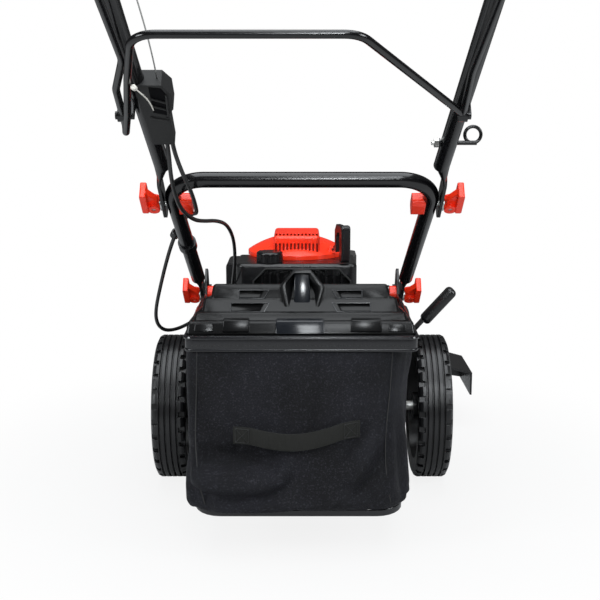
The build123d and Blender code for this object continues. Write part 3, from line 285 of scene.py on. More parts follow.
# Trim mouldings: black flap, side deflector, bearings, engine shrouds and small levers, a grey cable box
# and pulley, and red cover and clamps. All are polypropylene with a satin, finely grained surface.
satin_plastic = moulding(
    "satin_plastic",
    coat_black,
    roughness=0.2,
    grain=0.00004,
    grain_scale=1400,
    edge=0.002,
)
dress(
    satin_plastic,
    "axle_bearings",
    "rear_flap",
    "side_deflector",
    "fuel_tank",
    "fuel_cap",
    "blower_housing",
    "air_filter_box",
    "starter_grip",
    "speed_lever",
    "cable_clip",
    "spark_plug",
)
grey_plastic = moulding("grey_plastic", (0.014, 0.014, 0.014), roughness=0.36)
grey_plastic.skin_is(Specular_IOR_Level=0.25)
dress(grey_plastic, "cable_box", "recoil_pulley")
red_plastic = moulding(
    "red_plastic",
    (0.80, 0.030, 0.008),
    roughness=0.2,
    grain=0.00003,
    grain_scale=900,
    edge=0.002,
)
clamp_levers = [f"clamp_lever_{end}_{side}" for end in ("lower", "upper") for side in ("left", "right")]
dress(red_plastic, "recoil_cover", "clamp_nuts", *clamp_levers)


# Bare metal: zinc-plated rods and fasteners, and the engine's castings.
# Plating is bright with a faint brushed grain, and castings are grainy and duller. The rope guide is
# black but for its plated end, and the silencer has a dull heat paint.
def bare_metal(name, shade, roughness, grain_scale, depth):
    metal = Finish(name)
    grain = metal.cloud(grain_scale, detail=4)
    stain = metal.cloud(40, detail=5)
    metal.skin_is(
        Base_Color=metal.mix(stain, tuple(0.7 * c for c in shade), shade),
        Metallic=1.0,
        Roughness=roughness + 0.2 * stain,
        Normal=metal.dent(grain, depth, strength=0.5, edge=0.0008),
    )
    return metal


zinc_grey = (0.62, 0.62, 0.60)
zinc = bare_metal("zinc_plate", zinc_grey, roughness=0.22, grain_scale=1200, depth=0.00005)
dress(
    zinc,
    "flap_rod",
    "engine_bolts",
    "crankshaft",
    "blade_bolt",
    "rear_axle",
    "front_axle",
    "height_link",
    "bag_frame",
    "clamp_bolts",
    "blade_adapter",
)
guide = Finish("rope_guide_coat")
plated_end = 0.1785
plated = guide.along(guide.place())[0] < plated_end
guide.skin_is(
    Base_Color=guide.mix(plated, coat_black, zinc_grey),
    Metallic=plated,
    Roughness=0.16 + 0.12 * guide.cloud(60),
    Normal=guide.dent(guide.cloud(900), depth=0.00003, strength=0.5, edge=0.0006),
)
dress(guide, "rope_guide")
casting = bare_metal("engine_casting", (0.42, 0.42, 0.43), roughness=0.45, grain_scale=420, depth=0.0003)
dress(casting, "engine_block", "cylinder_head", "carburettor", "flywheel")
blade_steel = bare_metal("blade_steel", (0.22, 0.22, 0.23), roughness=0.35, grain_scale=600, depth=0.0001)
dress(blade_steel, "blade")
heat_paint = moulding(
    "heat_paint",
    (0.03, 0.028, 0.027),
    roughness=0.6,
    grain=0.0002,
    grain_scale=500,
)
dress(heat_paint, "muffler")


# The grip is a closed-cell foam sleeve pushed onto the upper handle.
# Its skin is dull, with fine open pores.
foam = Finish("foam_skin")
pores = foam.node("ShaderNodeTexVoronoi", {}, {"Vector": foam.place(), "Scale": 900})
foam.skin_is(
    Base_Color=foam.mix(foam.cloud(20), (0.012, 0.012, 0.012), (0.022, 0.022, 0.022)),
    Roughness=0.85,
    Normal=foam.dent(pores, depth=0.0004, strength=0.8),
)
dress(foam, "foam_grip")


# Two control cables run from the box on the left leg to the engine, past the arch of the lower handle.
# Each is a wound steel outer in a black sheath, tied at the arch, so it bends in two stretches.
handle_lean = radians(38)
handle_pivot = (-0.290, 0.311)


def on_handle(x, along, stand):
    """Point on the handle: across, up the tube from its pivot, and off its plane towards the front."""
    y = handle_pivot[0] - along * cos(handle_lean) + stand * sin(handle_lean)
    z = handle_pivot[1] + along * sin(handle_lean) + stand * cos(handle_lean)
    return (x, y, z)


def halfway(first, second):
    return tuple((Vector(first) + Vector(second)) / 2)


def line_through(name, points, kind="NURBS", closed=False):
    """Spline with these control points, smooth unless its kind is POLY."""
    curve = bpy.data.curves.new(name, "CURVE")
    curve.dimensions = "3D"
    spline = curve.splines.new(kind)
    spline.points.add(len(points) - 1)
    for knot, point in zip(spline.points, points):
        knot.co = (*point, 1)
    spline.order_u = 3
    spline.use_endpoint_u = True
    spline.use_cyclic_u = closed
    spline.resolution_u = 10
    line = bpy.data.objects.new(name, curve)
    bpy.context.scene.collection.objects.link(line)
    return line


def points_of(line):
    bpy.context.view_layer.update()
    mesh = bpy.data.meshes.new_from_object(line)
    points = [tuple(v.co) for v in mesh.vertices]
    bpy.data.meshes.remove(mesh)
    return points


def tube_mesh(line, radius, resolution=3):
    """Turns a spline into a closed tube of its own mesh."""
    line.data.bevel_depth = radius
    line.data.bevel_resolution = resolution
    line.data.use_fill_caps = True
    pick(line)
    bpy.ops.object.convert(target="MESH")
    bpy.ops.object.shade_smooth()
    return line


sheath = Finish("cable_sheath")
sheath.skin_is(
    Base_Color=sheath.mix(sheath.cloud(30), (0.010, 0.010, 0.010), (0.02, 0.02, 0.02)),
    Roughness=0.38,
    Normal=sheath.dent(sheath.cloud(1100, detail=2), depth=0.0001, strength=0.6),
)
cable_r = 0.003
box_start = 0.446
box_lead = 0.022
cable_stand = -0.006
stop_above = (-0.169, -0.556, 0.482)
stop_below = (-0.1565, -0.505, 0.4615)
stop_tie = halfway(stop_above, stop_below)
speed_above = (-0.148, -0.562, 0.490)
speed_below = on_handle(-0.1515, 0.268, cable_stand)
speed_tie = halfway(speed_above, speed_below)
speed_loop = (-0.239, -0.336, 0.292)
cable_routes = {
    "stop_cable_upper": [
        stop_tie,
        stop_above,
        (-0.174, -0.585, 0.509),
        (-0.175, -0.612, 0.534),
        on_handle(-0.175, box_start - box_lead, cable_stand),
        on_handle(-0.175, box_start, cable_stand),
    ],
    "stop_cable_lower": [
        stop_tie,
        stop_below,
        (-0.1455, -0.465, 0.455),
        (-0.1315, -0.405, 0.449),
        (-0.120, -0.345, 0.436),
        (-0.114, -0.285, 0.408),
        (-0.115, -0.225, 0.373),
        (-0.120, -0.165, 0.336),
        (-0.126, -0.122, 0.306),
        (-0.129, -0.092, 0.286),
        (-0.130, -0.070, 0.266),
        (-0.130, -0.062, 0.244),
    ],
    "speed_cable_upper": [
        speed_tie,
        speed_above,
        (-0.151, -0.585, 0.510),
        (-0.160, -0.612, 0.538),
        on_handle(-0.168, box_start - box_lead, cable_stand),
        on_handle(-0.168, box_start, cable_stand),
    ],
    "speed_cable_lower": [
        speed_tie,
        speed_below,
        on_handle(-0.1585, 0.248, 0.006),
        on_handle(-0.176, 0.214, 0.020),
        on_handle(-0.1945, 0.168, 0.019),
        (-0.211, -0.376, 0.391),
        (-0.228, -0.352, 0.335),
        speed_loop,
        (-0.238, -0.325, 0.268),
        (-0.228, -0.312, 0.255),
        (-0.213, -0.293, 0.252),
        (-0.197, -0.266, 0.254),
        (-0.182, -0.220, 0.256),
        (-0.170, -0.165, 0.254),
        (-0.162, -0.105, 0.252),
        (-0.158, -0.045, 0.250),
        (-0.158, 0.020, 0.248),
        (-0.156, 0.068, 0.246),
        (-0.147, 0.099, 0.245),
        (-0.120, 0.116, 0.244),
    ],
}
for node, route in cable_routes.items():
    line = line_through(node.replace("cable", "cable_sheath"), route)
    centre = points_of(line)
    tube_mesh(line, cable_r)
    line.data.materials.append(sheath.material)
    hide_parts(node)
    if node.endswith("upper"):
        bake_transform(line)
    else:
        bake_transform(line)


# The starter rope is a braided cord that comes out of the recoil cover into the D-shaped grip.
# On the machine it pays out with the grip; here it is a short fixed stretch from inside the cover to just
# outside it.
rope_braid = Finish("rope_braid")
strands = rope_braid.cloud(600, detail=2)
rope_braid.skin_is(
    Base_Color=rope_braid.mix(strands, (0.02, 0.02, 0.02), (0.06, 0.06, 0.06)),
    Roughness=0.7,
    Normal=rope_braid.dent(strands, depth=0.0004),
)
rope_r = 0.002
rope_pull = Vector((150, -571, 226)).normalized()
rope_start = Vector((0.061, -0.074, 0.359))
rope_inside = 0.034
rope_outside = 0.004
rope_in = rope_start - rope_inside * rope_pull
rope_out = rope_start + rope_outside * rope_pull
rope = line_through("starter_rope_braid", [rope_in, rope_start, rope_out])
rope_centre = points_of(rope)
tube_mesh(rope, rope_r)
rope.data.materials.append(rope_braid.material)
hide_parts("starter_rope")
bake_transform(rope)


# The grass bag is woven polyester, sewn as a box with an open front and slack in its walls.
# A rounded box is given its shape, then a cloth simulation buckles the slack between its sewn edges.
bag_low = Vector((-0.158, -0.6385, 0.0675))
bag_high = Vector((0.153, -0.3190, 0.2990))
bag_round = 0.026
bag_cuts = 45
base_rise = 0.026
front_taper = 0.05
left_bulge = 0.009
right_hollow = 0.014
corner_draw = 0.030
corner_from = 0.112
corner_width = 0.04
ridges = [
    ((-0.175, 0.166), (-0.030, 0.156), 0.018, -0.016),
    ((-0.150, 0.136), (-0.030, 0.132), 0.026, 0.018),
    ((-0.110, 0.088), (0.090, 0.104), 0.016, 0.012),
    ((0.070, 0.128), (0.104, 0.186), 0.020, 0.012),
]


def apply_modifiers(piece):
    pick(piece)
    for modifier in list(piece.modifiers):
        bpy.ops.object.modifier_apply(modifier=modifier.name)


def settle(piece):
    """Puts a piece's place into its mesh."""
    pick(piece)
    bpy.ops.object.transform_apply(location=True, rotation=True, scale=True)


def swell(value, middle, width):
    """Smooth bump of height 1 round a middle."""
    return max(0.0, 1 - ((value - middle) / width) ** 2) ** 2


def fold(x, z, start, end, width):
    """Height of a soft ridge along a line on the bag's rear wall."""
    run = Vector(end) - Vector(start)
    share = max(0.0, min(1.0, (Vector((x, z)) - Vector(start)).dot(run) / run.length_squared))
    off = (Vector((x, z)) - Vector(start) - share * run).length
    return swell(off, 0, width) * (0.35 + 0.65 * sin(pi * (0.15 + 0.7 * share)))


select_none()
bpy.ops.mesh.primitive_cube_add(size=1, location=(bag_low + bag_high) / 2)
bag = bpy.context.object
bag.name = "bag_cloth"
bag.scale = bag_high - bag_low
settle(bag)
bpy.ops.object.mode_set(mode="EDIT")
bpy.ops.mesh.select_all(action="SELECT")
bpy.ops.mesh.subdivide(number_cuts=bag_cuts)
bpy.ops.object.mode_set(mode="OBJECT")
inner_low = bag_low + Vector((bag_round, bag_round, bag_round))
inner_high = bag_high - Vector((bag_round, bag_round, 0))
for knot in bag.data.vertices:
    spot = knot.co
    core = Vector([min(max(c, low), high) for c, low, high in zip(spot, inner_low, inner_high)])
    core.y = max(spot.y, inner_low.y)
    away = spot - core
    if away.length > 0:
        spot = core + bag_round * away.normalized()
    depth = (spot.y - bag_low.y) / (bag_high.y - bag_low.y)
    height = (spot.z - bag_low.z) / (bag_high.z - bag_low.z)
    spot.z += base_rise * depth * (1 - height)
    spot.x *= 1 - front_taper * depth
    rearward = 1 - min(1.0, 2.5 * depth)
    left = swell(spot.x, bag_low.x, width=0.06)
    right = swell(spot.x, bag_high.x, width=0.05)
    spot.x -= left_bulge * rearward * left * swell(height, middle=0.42, width=0.55)
    hollow = swell(height, middle=0.68, width=0.3) + 0.2 * swell(height, middle=0.2, width=0.3)
    spot.x -= right_hollow * right * hollow
    spot.y += corner_draw * rearward * max(0.0, (spot.x - corner_from) / corner_width) ** 1.3
    low_belly = 0.010 * swell(height, middle=0.22, width=0.34)
    high_dip = 0.006 * swell(height, middle=0.62, width=0.3)
    swelling = low_belly - high_dip
    for start, end, width, rise in ridges:
        swelling += rise * fold(spot.x, spot.z, start, end, width)
    spot.y -= rearward * swelling
    knot.co = spot

bpy.ops.object.mode_set(mode="EDIT")
bpy.ops.mesh.select_all(action="DESELECT")
bpy.ops.object.mode_set(mode="OBJECT")
for face in bag.data.polygons:
    open_front = face.center.y > bag_high.y - 0.002
    open_top = face.normal.z > 0.9 and face.center.z > bag_high.z - 0.004
    face.select = open_front or open_top
bpy.ops.object.mode_set(mode="EDIT")
bpy.ops.mesh.delete(type="FACE")
bpy.ops.object.mode_set(mode="OBJECT")
sewn = bag.vertex_groups.new(name="sewn")
for knot in bag.data.vertices:
    top_edge = swell(knot.co.z, bag_high.z, width=0.012)
    front_edge = swell(knot.co.y, bag_high.y, width=0.02)
    base_edge = swell(knot.co.z, bag_low.z, width=0.016)
    if max(top_edge, front_edge, base_edge) > 0.2:
        sewn.add([knot.index], 1.0, "REPLACE")
before = [knot.co.copy() for knot in bag.data.vertices]
cloth = bag.modifiers.new("slack", "CLOTH")
cloth.settings.quality = 5
cloth.settings.mass = 0.25
cloth.settings.tension_stiffness = 12
cloth.settings.compression_stiffness = 12
cloth.settings.shear_stiffness = 6
cloth.settings.bending_stiffness = 0.25
cloth.settings.shrink_min = -0.025
cloth.settings.vertex_group_mass = "sewn"
cloth.settings.use_pressure = True
cloth.settings.uniform_pressure_force = 0.6
cloth.collision_settings.use_collision = False
sim_end = 26
cloth.point_cache.frame_end = sim_end
for step in range(1, sim_end + 1):
    bpy.context.scene.frame_set(step)
apply_modifiers(bag)
bpy.context.scene.frame_set(1)
slack_limit = 0.012
for knot, start in zip(bag.data.vertices, before):
    moved = knot.co - start
    if moved.length > slack_limit:
        knot.co = start + slack_limit * moved.normalized()
wall = bag.modifiers.new("cloth_thickness", "SOLIDIFY")
wall.thickness = 0.0015
wall.offset = 1
smooth = bag.modifiers.new("smooth", "SUBSURF")
smooth.levels = smooth.render_levels = 1
apply_modifiers(bag)
bpy.ops.object.shade_smooth()

weave = Finish("woven_polyester")
x, y, z = weave.along(weave.place())
yarn = 0.0011
warp = ((x + y) / yarn).wave()
weft = (z / yarn).wave()
lint = weave.cloud(1700, detail=2)
worn = weave.cloud(11, detail=4)
fleck = weave.cloud(430, detail=3)
# Painted glint: light bluish grey flecks in the colour stand in for fibres catching the light.
painted_glint = lint.between(0.55, 0.75) * 0.5 + fleck.between(0.52, 0.74) * 0.5
# The large patches of worn are partly faded cloth and partly painted light, lighter where folds catch the
# light.
dark_yarn = weave.mix(worn.between(0.3, 0.7), (0.0028, 0.0027, 0.0036), (0.0085, 0.0085, 0.0115))
weave.skin_is(
    Base_Color=weave.mix(painted_glint * (0.25 + 0.75 * worn), dark_yarn, (0.075, 0.076, 0.092)),
    Roughness=0.46 + 0.15 * worn,
    Specular_IOR_Level=0.16,
    Normal=weave.dent(warp * weft * 0.5 + lint, depth=0.0005, strength=0.8),
    Sheen_Weight=0.04,
    Sheen_Roughness=0.35,
    Sheen_Tint=(0.30, 0.31, 0.40),
)
bag.data.materials.append(weave.material)
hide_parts("bag_body")
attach(bag, "grass_bag")


# The bag's walls are joined by sewn seams at both sides of its rear wall.
# Each seam is a fine cord laid on the cloth where a ray from behind meets it.
def bag_surface(x, z):
    """Where the cloth lies, seen from behind."""
    hit, place = bag.ray_cast(Vector((x, -1, z)), Vector((0, 1, 0)))[:2]
    off_cloth = Vector((0, -0.0002, 0))
    return place + off_cloth if hit else Vector((x, bag_low.y, z))


seam_routes = {
    "bag_seam_right": [
        (0.1225, 0.298),
        (0.1215, 0.270),
        (0.1200, 0.240),
        (0.1170, 0.205),
        (0.1145, 0.170),
        (0.1150, 0.140),
        (0.1180, 0.110),
        (0.1225, 0.085),
    ],
    "bag_seam_left": [
        (-0.1420, 0.298),
        (-0.1430, 0.260),
        (-0.1450, 0.220),
        (-0.1465, 0.180),
        (-0.1440, 0.140),
        (-0.1400, 0.110),
        (-0.1340, 0.085),
    ],
}
thread = Finish("sewing_thread")
twist = thread.cloud(1500, detail=2)
thread.skin_is(
    Base_Color=thread.mix(twist, (0.006, 0.006, 0.006), (0.02, 0.02, 0.02)),
    Roughness=0.6,
    Normal=thread.dent(twist, depth=0.0002),
)
thread_r = 0.0008
for name, route in seam_routes.items():
    seam = line_through(name, [bag_surface(*place) for place in route])
    tube_mesh(seam, thread_r, resolution=2)
    seam.data.materials.append(thread.material)
    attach(seam, "grass_bag")


# The bag's upper edge is bound with black vinyl round the foot of the lid: a flat band, a piped bead
# on top and a hem below, sewn through with one row of thread. A narrow trim binds the lower edge.
# Each is a ribbon bent round the three sides.
def ribbon(name, points, half_height, edge):
    """Upright band of rounded thickness along a plan of points."""
    curve = bpy.data.curves.new(name, "CURVE")
    curve.dimensions = "2D"
    curve.fill_mode = "NONE"
    spline = curve.splines.new("POLY")
    spline.points.add(len(points) - 1)
    for knot, point in zip(spline.points, points):
        knot.co = (point[0], point[1], 0, 1)
    curve.extrude = max(half_height - edge, 0)
    curve.bevel_depth = edge
    curve.bevel_resolution = 2
    band = bpy.data.objects.new(name, curve)
    bpy.context.scene.collection.objects.link(band)
    pick(band)
    bpy.ops.object.convert(target="MESH")
    bpy.ops.object.shade_smooth_by_angle(angle=radians(40))
    return band


def lift(piece, height):
    """Raises each point of a piece by a height, or by a rule of its place."""
    for knot in piece.data.vertices:
        knot.co.z += height(knot.co) if callable(height) else height


def corner_plan(half_left, half_right, rear, front, radius, steps=6):
    """Open U round the bag's sides and rear, with rounded corners."""
    plan = [(-half_left, front)]
    for k in range(steps + 1):
        turn = pi + k * pi / 2 / steps
        plan.append((-half_left + radius + radius * cos(turn), rear + radius + radius * sin(turn)))
    for k in range(steps + 1):
        turn = 1.5 * pi + k * pi / 2 / steps
        plan.append((half_right - radius + radius * cos(turn), rear + radius + radius * sin(turn)))
    plan.append((half_right, front))
    return plan


vinyl = Finish("binding_vinyl")
grain = vinyl.cloud(700, detail=3)
vinyl.skin_is(
    Base_Color=vinyl.mix(grain, (0.004, 0.004, 0.005), (0.010, 0.010, 0.012)),
    Roughness=0.14 + 0.1 * grain,
    Normal=vinyl.dent(grain, depth=0.0001, strength=0.5),
)
band_front = -0.335
band_corner = 0.012
band_pieces = [
    ("bag_band", 0.0105, 0.0012, 0.3105, 0.1575, 0.1555, -0.6405),
    ("bag_band_bead", 0.0028, 0.0028, 0.3180, 0.1580, 0.1560, -0.6415),
    ("bag_band_hem", 0.0022, 0.0016, 0.3010, 0.1580, 0.1560, -0.6410),
]
for name, half_height, edge, height, half_left, half_right, rear in band_pieces:
    plan = corner_plan(half_left, half_right, rear, band_front, band_corner)
    band = ribbon(name, plan, half_height, edge)
    lift(band, height)
    band.data.materials.append(vinyl.material)
    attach(band, "grass_bag")

trim_plan = corner_plan(0.1500, 0.1400, rear=-0.6395, front=band_front, radius=0.036)
trim_height = 0.0685
base_trim = ribbon("bag_base_trim", trim_plan, half_height=0.0048, edge=0.0012)
lift(base_trim, lambda place: trim_height + base_rise * (place.y - bag_low.y) / (bag_high.y - bag_low.y))
base_trim.data.materials.append(vinyl.material)
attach(base_trim, "grass_bag")

stitch_pitch = 0.0052
stitch_count = 57
first_stitch = (-0.148, -0.6419, 0.3075)
select_none()
bpy.ops.mesh.primitive_uv_sphere_add(segments=8, ring_count=6, radius=0.5, location=first_stitch)
stitches = bpy.context.object
stitches.name = "bag_band_stitches"
stitches.scale = (0.0036, 0.0012, 0.0013)
settle(stitches)
row = stitches.modifiers.new("row", "ARRAY")
row.use_relative_offset = False
row.use_constant_offset = True
row.constant_offset_displace = (stitch_pitch, 0, 0)
row.count = stitch_count
apply_modifiers(stitches)
bpy.ops.object.shade_smooth()
stitches.data.materials.append(thread.material)
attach(stitches, "grass_bag")


# The strap that lifts the bag's rear is a length of webbing, sewn to the bag at both ends with a
# crossed box of thread. It stands off the cloth in the middle and hangs a little low there.
strap_left = -0.094
strap_right = 0.079
strap_pad = 0.026
strap_half = 0.0122
strap_skin = -0.6465
strap_low = 0.1835
strap_tilt = 0.0095
strap_droop = 0.011
strap_stand = 0.013


def strap_height(place):
    share = (place.x - strap_left) / (strap_right - strap_left)
    return strap_low + strap_tilt * share - strap_droop * sin(pi * min(max(share, 0), 1)) ** 1.5


strap_plan = []
strap_steps = 36
for k in range(strap_steps + 1):
    x_here = strap_left + k / strap_steps * (strap_right - strap_left)
    inside = (x_here - strap_left - strap_pad) / (strap_right - strap_left - 2 * strap_pad)
    stand = strap_stand * sin(pi * inside) ** 0.8 if 0 < inside < 1 else 0
    strap_plan.append((x_here, strap_skin - stand))
strap = ribbon("bag_strap_webbing", strap_plan, strap_half, edge=0.0009)
lift(strap, strap_height)
webbing = Finish("strap_webbing")
rib_pitch = 0.0017
x = webbing.along(webbing.place())[0]
cross_rib = (x / rib_pitch).wave()
fuzz = webbing.cloud(1300, detail=3)
webbing.skin_is(
    Base_Color=webbing.mix(fuzz, (0.0045, 0.0045, 0.0036), (0.011, 0.011, 0.009)),
    Roughness=0.7,
    Specular_IOR_Level=0.3,
    Normal=webbing.dent(cross_rib * 0.5 + fuzz, depth=0.0005, strength=0.9),
    Sheen_Weight=0.05,
)
strap.data.materials.append(webbing.material)
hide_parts("bag_strap")
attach(strap, "grass_bag")

patch_margin = 0.003
patch_reach = 0.021
patches = {
    "left": (strap_left + patch_margin, strap_left + patch_reach),
    "right": (strap_right - patch_reach, strap_right - patch_margin),
}
stitch_inset = 0.0025
up = strap_half - stitch_inset
stitch_skin = strap_skin - 0.0013
stitch_r = 0.0005
for side, (low, high) in patches.items():
    loop = [(low, up), (high, up), (high, -up), (low, -up), (low, up), (high, -up), (high, up), (low, -up)]
    places = []
    for x_here, z_here in loop:
        z_here += strap_height(Vector((x_here, 0, 0)))
        places.append((x_here, stitch_skin, z_here))
    box_stitch = line_through(f"strap_stitches_{side}", places, "POLY")
    tube_mesh(box_stitch, stitch_r, resolution=1)
    box_stitch.data.materials.append(thread.material)
    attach(box_stitch, "grass_bag")


# The lid is one polypropylene moulding in four steps, with slanted vents in the upper two, a carrying
# grip in the middle and catches along the rear. Each step is a box pulled to its wedge and rounded.
def wedge(name, left, right, rear_top, rear_foot, front_top, front_foot, draw_in=0.0):
    """Box between two sides whose (y, z) edges are given, narrower at the top by the draw-in."""
    select_none()
    bpy.ops.mesh.primitive_cube_add(size=2, location=(0, 0, 0))
    piece = bpy.context.object
    piece.name = name
    for knot in piece.data.vertices:
        rear = knot.co.y < 0
        top = knot.co.z > 0
        y_here, z_here = (rear_top if top else rear_foot) if rear else (front_top if top else front_foot)
        side = draw_in if top else 0
        knot.co = (left + side if knot.co.x < 0 else right - side, y_here, z_here)
    return piece


def round_edges(piece, width, segments=3, angle=30):
    rounding = piece.modifiers.new("round", "BEVEL")
    rounding.width = width
    rounding.segments = segments
    rounding.limit_method = "ANGLE"
    rounding.angle_limit = radians(angle)
    apply_modifiers(piece)


def prism(name, outline, low, far_end):
    """Drawn from an outline of (x, z) points at a low y to a far end of (x, y, z) points."""
    select_none()
    bpy.ops.mesh.primitive_circle_add(vertices=len(outline), fill_type="NGON", location=(0, 0, 0))
    piece = bpy.context.object
    piece.name = name
    for knot, (x_here, z_here) in zip(piece.data.vertices, outline):
        knot.co = (x_here, low, z_here)
    bpy.ops.object.mode_set(mode="EDIT")
    bpy.ops.mesh.select_all(action="SELECT")
    bpy.ops.mesh.extrude_region_move(TRANSFORM_OT_translate={"value": (0, 1, 0)})
    bpy.ops.object.mode_set(mode="OBJECT")
    for knot in piece.data.vertices:
        if knot.co.y > low + 0.5:
            spot = Vector((knot.co.x, knot.co.z))
            gaps = [(Vector(corner) - spot).length for corner in outline]
            knot.co = far_end[gaps.index(min(gaps))]
    bpy.ops.object.mode_set(mode="EDIT")
    bpy.ops.mesh.select_all(action="SELECT")
    bpy.ops.mesh.normals_make_consistent(inside=False)
    bpy.ops.object.mode_set(mode="OBJECT")
    return piece


def cut_away(piece, tool):
    """Takes the tool's shape out of a piece, and the tool away."""
    cut = piece.modifiers.new("cut", "BOOLEAN")
    cut.operation = "DIFFERENCE"
    cut.solver = "EXACT"
    cut.object = tool
    apply_modifiers(piece)
    bpy.data.objects.remove(tool)


def on_riser(outline, rear_top, lean, side, depth=0.0):
    """A vent's outline of (x, z) points laid on a step's slanted rear, or sunk into it."""
    return [
        (lid_middle + side * x_here, rear_top[0] - (rear_top[1] - z_here) * lean + depth, z_here)
        for x_here, z_here in outline
    ]


def both_sides(half):
    """A closed outline from the (x, z) points of its right half."""
    return [(-x_here, z_here) for x_here, z_here in half] + half[::-1]


def finish_lid(piece, finish):
    pick(piece)
    bpy.ops.object.shade_smooth_by_angle(angle=radians(35))
    piece.data.materials.append(finish.material)
    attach(piece, "grass_bag")


lid_plastic = moulding(
    "lid_plastic",
    (0.004, 0.004, 0.0042),
    roughness=0.17,
    grain=0.00003,
    grain_scale=1500,
    edge=0.0008,
)
lid_plastic.skin_is(Specular_IOR_Level=0.27)
gloss_plastic = moulding(
    "gloss_plastic",
    (0.005, 0.006, 0.008),
    roughness=0.08,
    grain=0.00001,
    grain_scale=900,
    edge=0.001,
)
# The vent rims are a lighter grey than the lid: painted highlight, drawing the bright outlines round the
# vents.
vent_rim_painted_highlight = moulding(
    "vent_rim_painted_highlight",
    (0.03, 0.031, 0.033),
    roughness=0.12,
    grain=0.00001,
    grain_scale=900,
    edge=0.0005,
)
lid_front = -0.312
lid_middle = -0.002
steps = [
    ("lid_step_top", 0.1253, (-0.569, 0.3795), (-0.5835, 0.3585), 0.3270, 0.306),
    ("lid_step_upper", 0.1370, (-0.581, 0.3625), (-0.6005, 0.3430), 0.3215, 0.304),
    ("lid_step_lower", 0.1475, (-0.599, 0.3465), (-0.6180, 0.3335), 0.3165, 0.302),
    ("lid_foot", 0.1565, (-0.621, 0.3375), (-0.6300, 0.3185), 0.3130, 0.3005),
]
vents = {
    "lid_step_top": (0.361, 0.371, 0.0856, 0.0441, 0.0509),
    "lid_step_upper": (0.345, 0.3555, 0.0965, 0.0436, 0.0504),
}
vent_depth = 0.006
vent_slant = 0.007
vent_tool_rear = -0.66
vent_rim_r = 0.0009
step_draw = 0.003
for name, half, rear_top, rear_foot, front_high, front_low in steps:
    left = lid_middle - half
    right = lid_middle + half
    front_top = (lid_front, front_high)
    front_foot = (lid_front, front_low)
    step = wedge(name, left, right, rear_top, rear_foot, front_top, front_foot, draw_in=step_draw)
    round_edges(step, 0.0045, segments=4)
    lean = (rear_top[0] - rear_foot[0]) / (rear_top[1] - rear_foot[1])
    for side in (-1, 1) if name in vents else ():
        low, high, outer, inner_high, inner_low = vents[name]
        window = [(outer, low), (outer, high), (inner_high, high), (inner_low, low)]
        slanted = [(inner_high + vent_slant, high), (inner_low + vent_slant, low)]
        vent_floor = window[:2] + slanted
        faced = on_riser(window, rear_top, lean, side)
        sunk = on_riser(vent_floor, rear_top, lean, side, vent_depth)
        mouth = [(x_here, z_here) for x_here, y_here, z_here in faced]
        cut_away(step, prism("vent_tool", mouth, vent_tool_rear, sunk))
        side_name = "left" if side < 0 else "right"
        rim = line_through(f"{name}_vent_rim_{side_name}", faced, "POLY", closed=True)
        tube_mesh(rim, vent_rim_r, resolution=2)
        finish_lid(rim, vent_rim_painted_highlight)
    if name in vents:
        round_edges(step, 0.0006, segments=2, angle=50)
    finish_lid(step, lid_plastic)
    if name == "lid_step_top":
        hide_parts("bag_lid")

scoop_outline = both_sides([(0.022, 0.3415), (0.032, 0.379), (0.012, 0.402)])
pocket_outline = both_sides([(0.0185, 0.345), (0.0288, 0.3787), (0.0108, 0.3992)])
scoop_rear = -0.594
scoop_front = -0.470
scoop_front_top = 0.356
scoop_narrowing = 0.7
scoop_bend = 0.36
scoop_lean = 0.35
pocket_front = -0.568
pocket_low = 0.350
pocket_high = 0.3935
tongue_half = 0.0112
scoop_end = [
    (x_here * scoop_narrowing, scoop_front, min(z_here, scoop_front_top))
    for x_here, z_here in scoop_outline
]
scoop = prism("lid_grip", scoop_outline, scoop_rear, scoop_end)
for knot in scoop.data.vertices:
    if knot.co.y < scoop_rear + 0.01 and knot.co.z > scoop_bend:
        knot.co.y += scoop_lean * (knot.co.z - scoop_bend)
round_edges(scoop, 0.002)
pocket_end = [
    (copysign(tongue_half, x_here), pocket_front, min(max(z_here, pocket_low), pocket_high))
    for x_here, z_here in pocket_outline
]
cut_away(scoop, prism("pocket_tool", pocket_outline, scoop_rear - 0.002, pocket_end))
round_edges(scoop, 0.0006, segments=2, angle=50)
finish_lid(scoop, lid_plastic)
tongue = wedge(
    "lid_grip_bar",
    -tongue_half,
    tongue_half,
    rear_top=(-0.5765, 0.3975),
    rear_foot=(-0.5905, 0.3440),
    front_top=(-0.552, 0.3900),
    front_foot=(-0.555, 0.3440),
)
round_edges(tongue, 0.002)
finish_lid(tongue, gloss_plastic)

catches = [
    ("lid_catch_middle", -0.036, 0.031, 0.0215, 0.3225, 0.3395),
    ("lid_catch_left", -0.108, -0.071, 0.016, 0.3245, 0.3400),
    ("lid_catch_right", 0.066, 0.1085, 0.016, 0.3245, 0.3400),
    ("lid_catch_far_left", -0.147, -0.120, 0.012, 0.3235, 0.3345),
    ("lid_catch_far_right", 0.117, 0.142, 0.012, 0.3235, 0.3345),
]
catch_root = -0.6165
catch_front = -0.610
for name, left, right, reach, low, high in catches:
    rear = catch_root - reach
    slope = 0.010 if name == "lid_catch_middle" else 0.0045
    front_top = (catch_front, high)
    front_foot = (catch_front, low)
    rear_top = (rear + slope, high)
    rear_foot = (rear, low)
    catch = wedge(name, left, right, rear_top, rear_foot, front_top, front_foot, draw_in=0.001)
    round_edges(catch, 0.0016)
    finish_lid(catch, gloss_plastic if name == "lid_catch_middle" else lid_plastic)


# The cable box is a moulded cover over two cable ends, open towards the grip, with ribs in its opening.
# A near-black panel of painted shade in the opening, two ribs, a side wall and a lip are prisms laid on
# the box's face.
def on_box(name, outline, low, high):
    """Prism on the box: outline of (across, up the tube) points, between two stand-offs."""
    piece = prism(name, outline, low, [(x_here, high, along_here) for x_here, along_here in outline])
    for knot in piece.data.vertices:
        knot.co = on_handle(knot.co.x, knot.co.z, knot.co.y)
    return piece
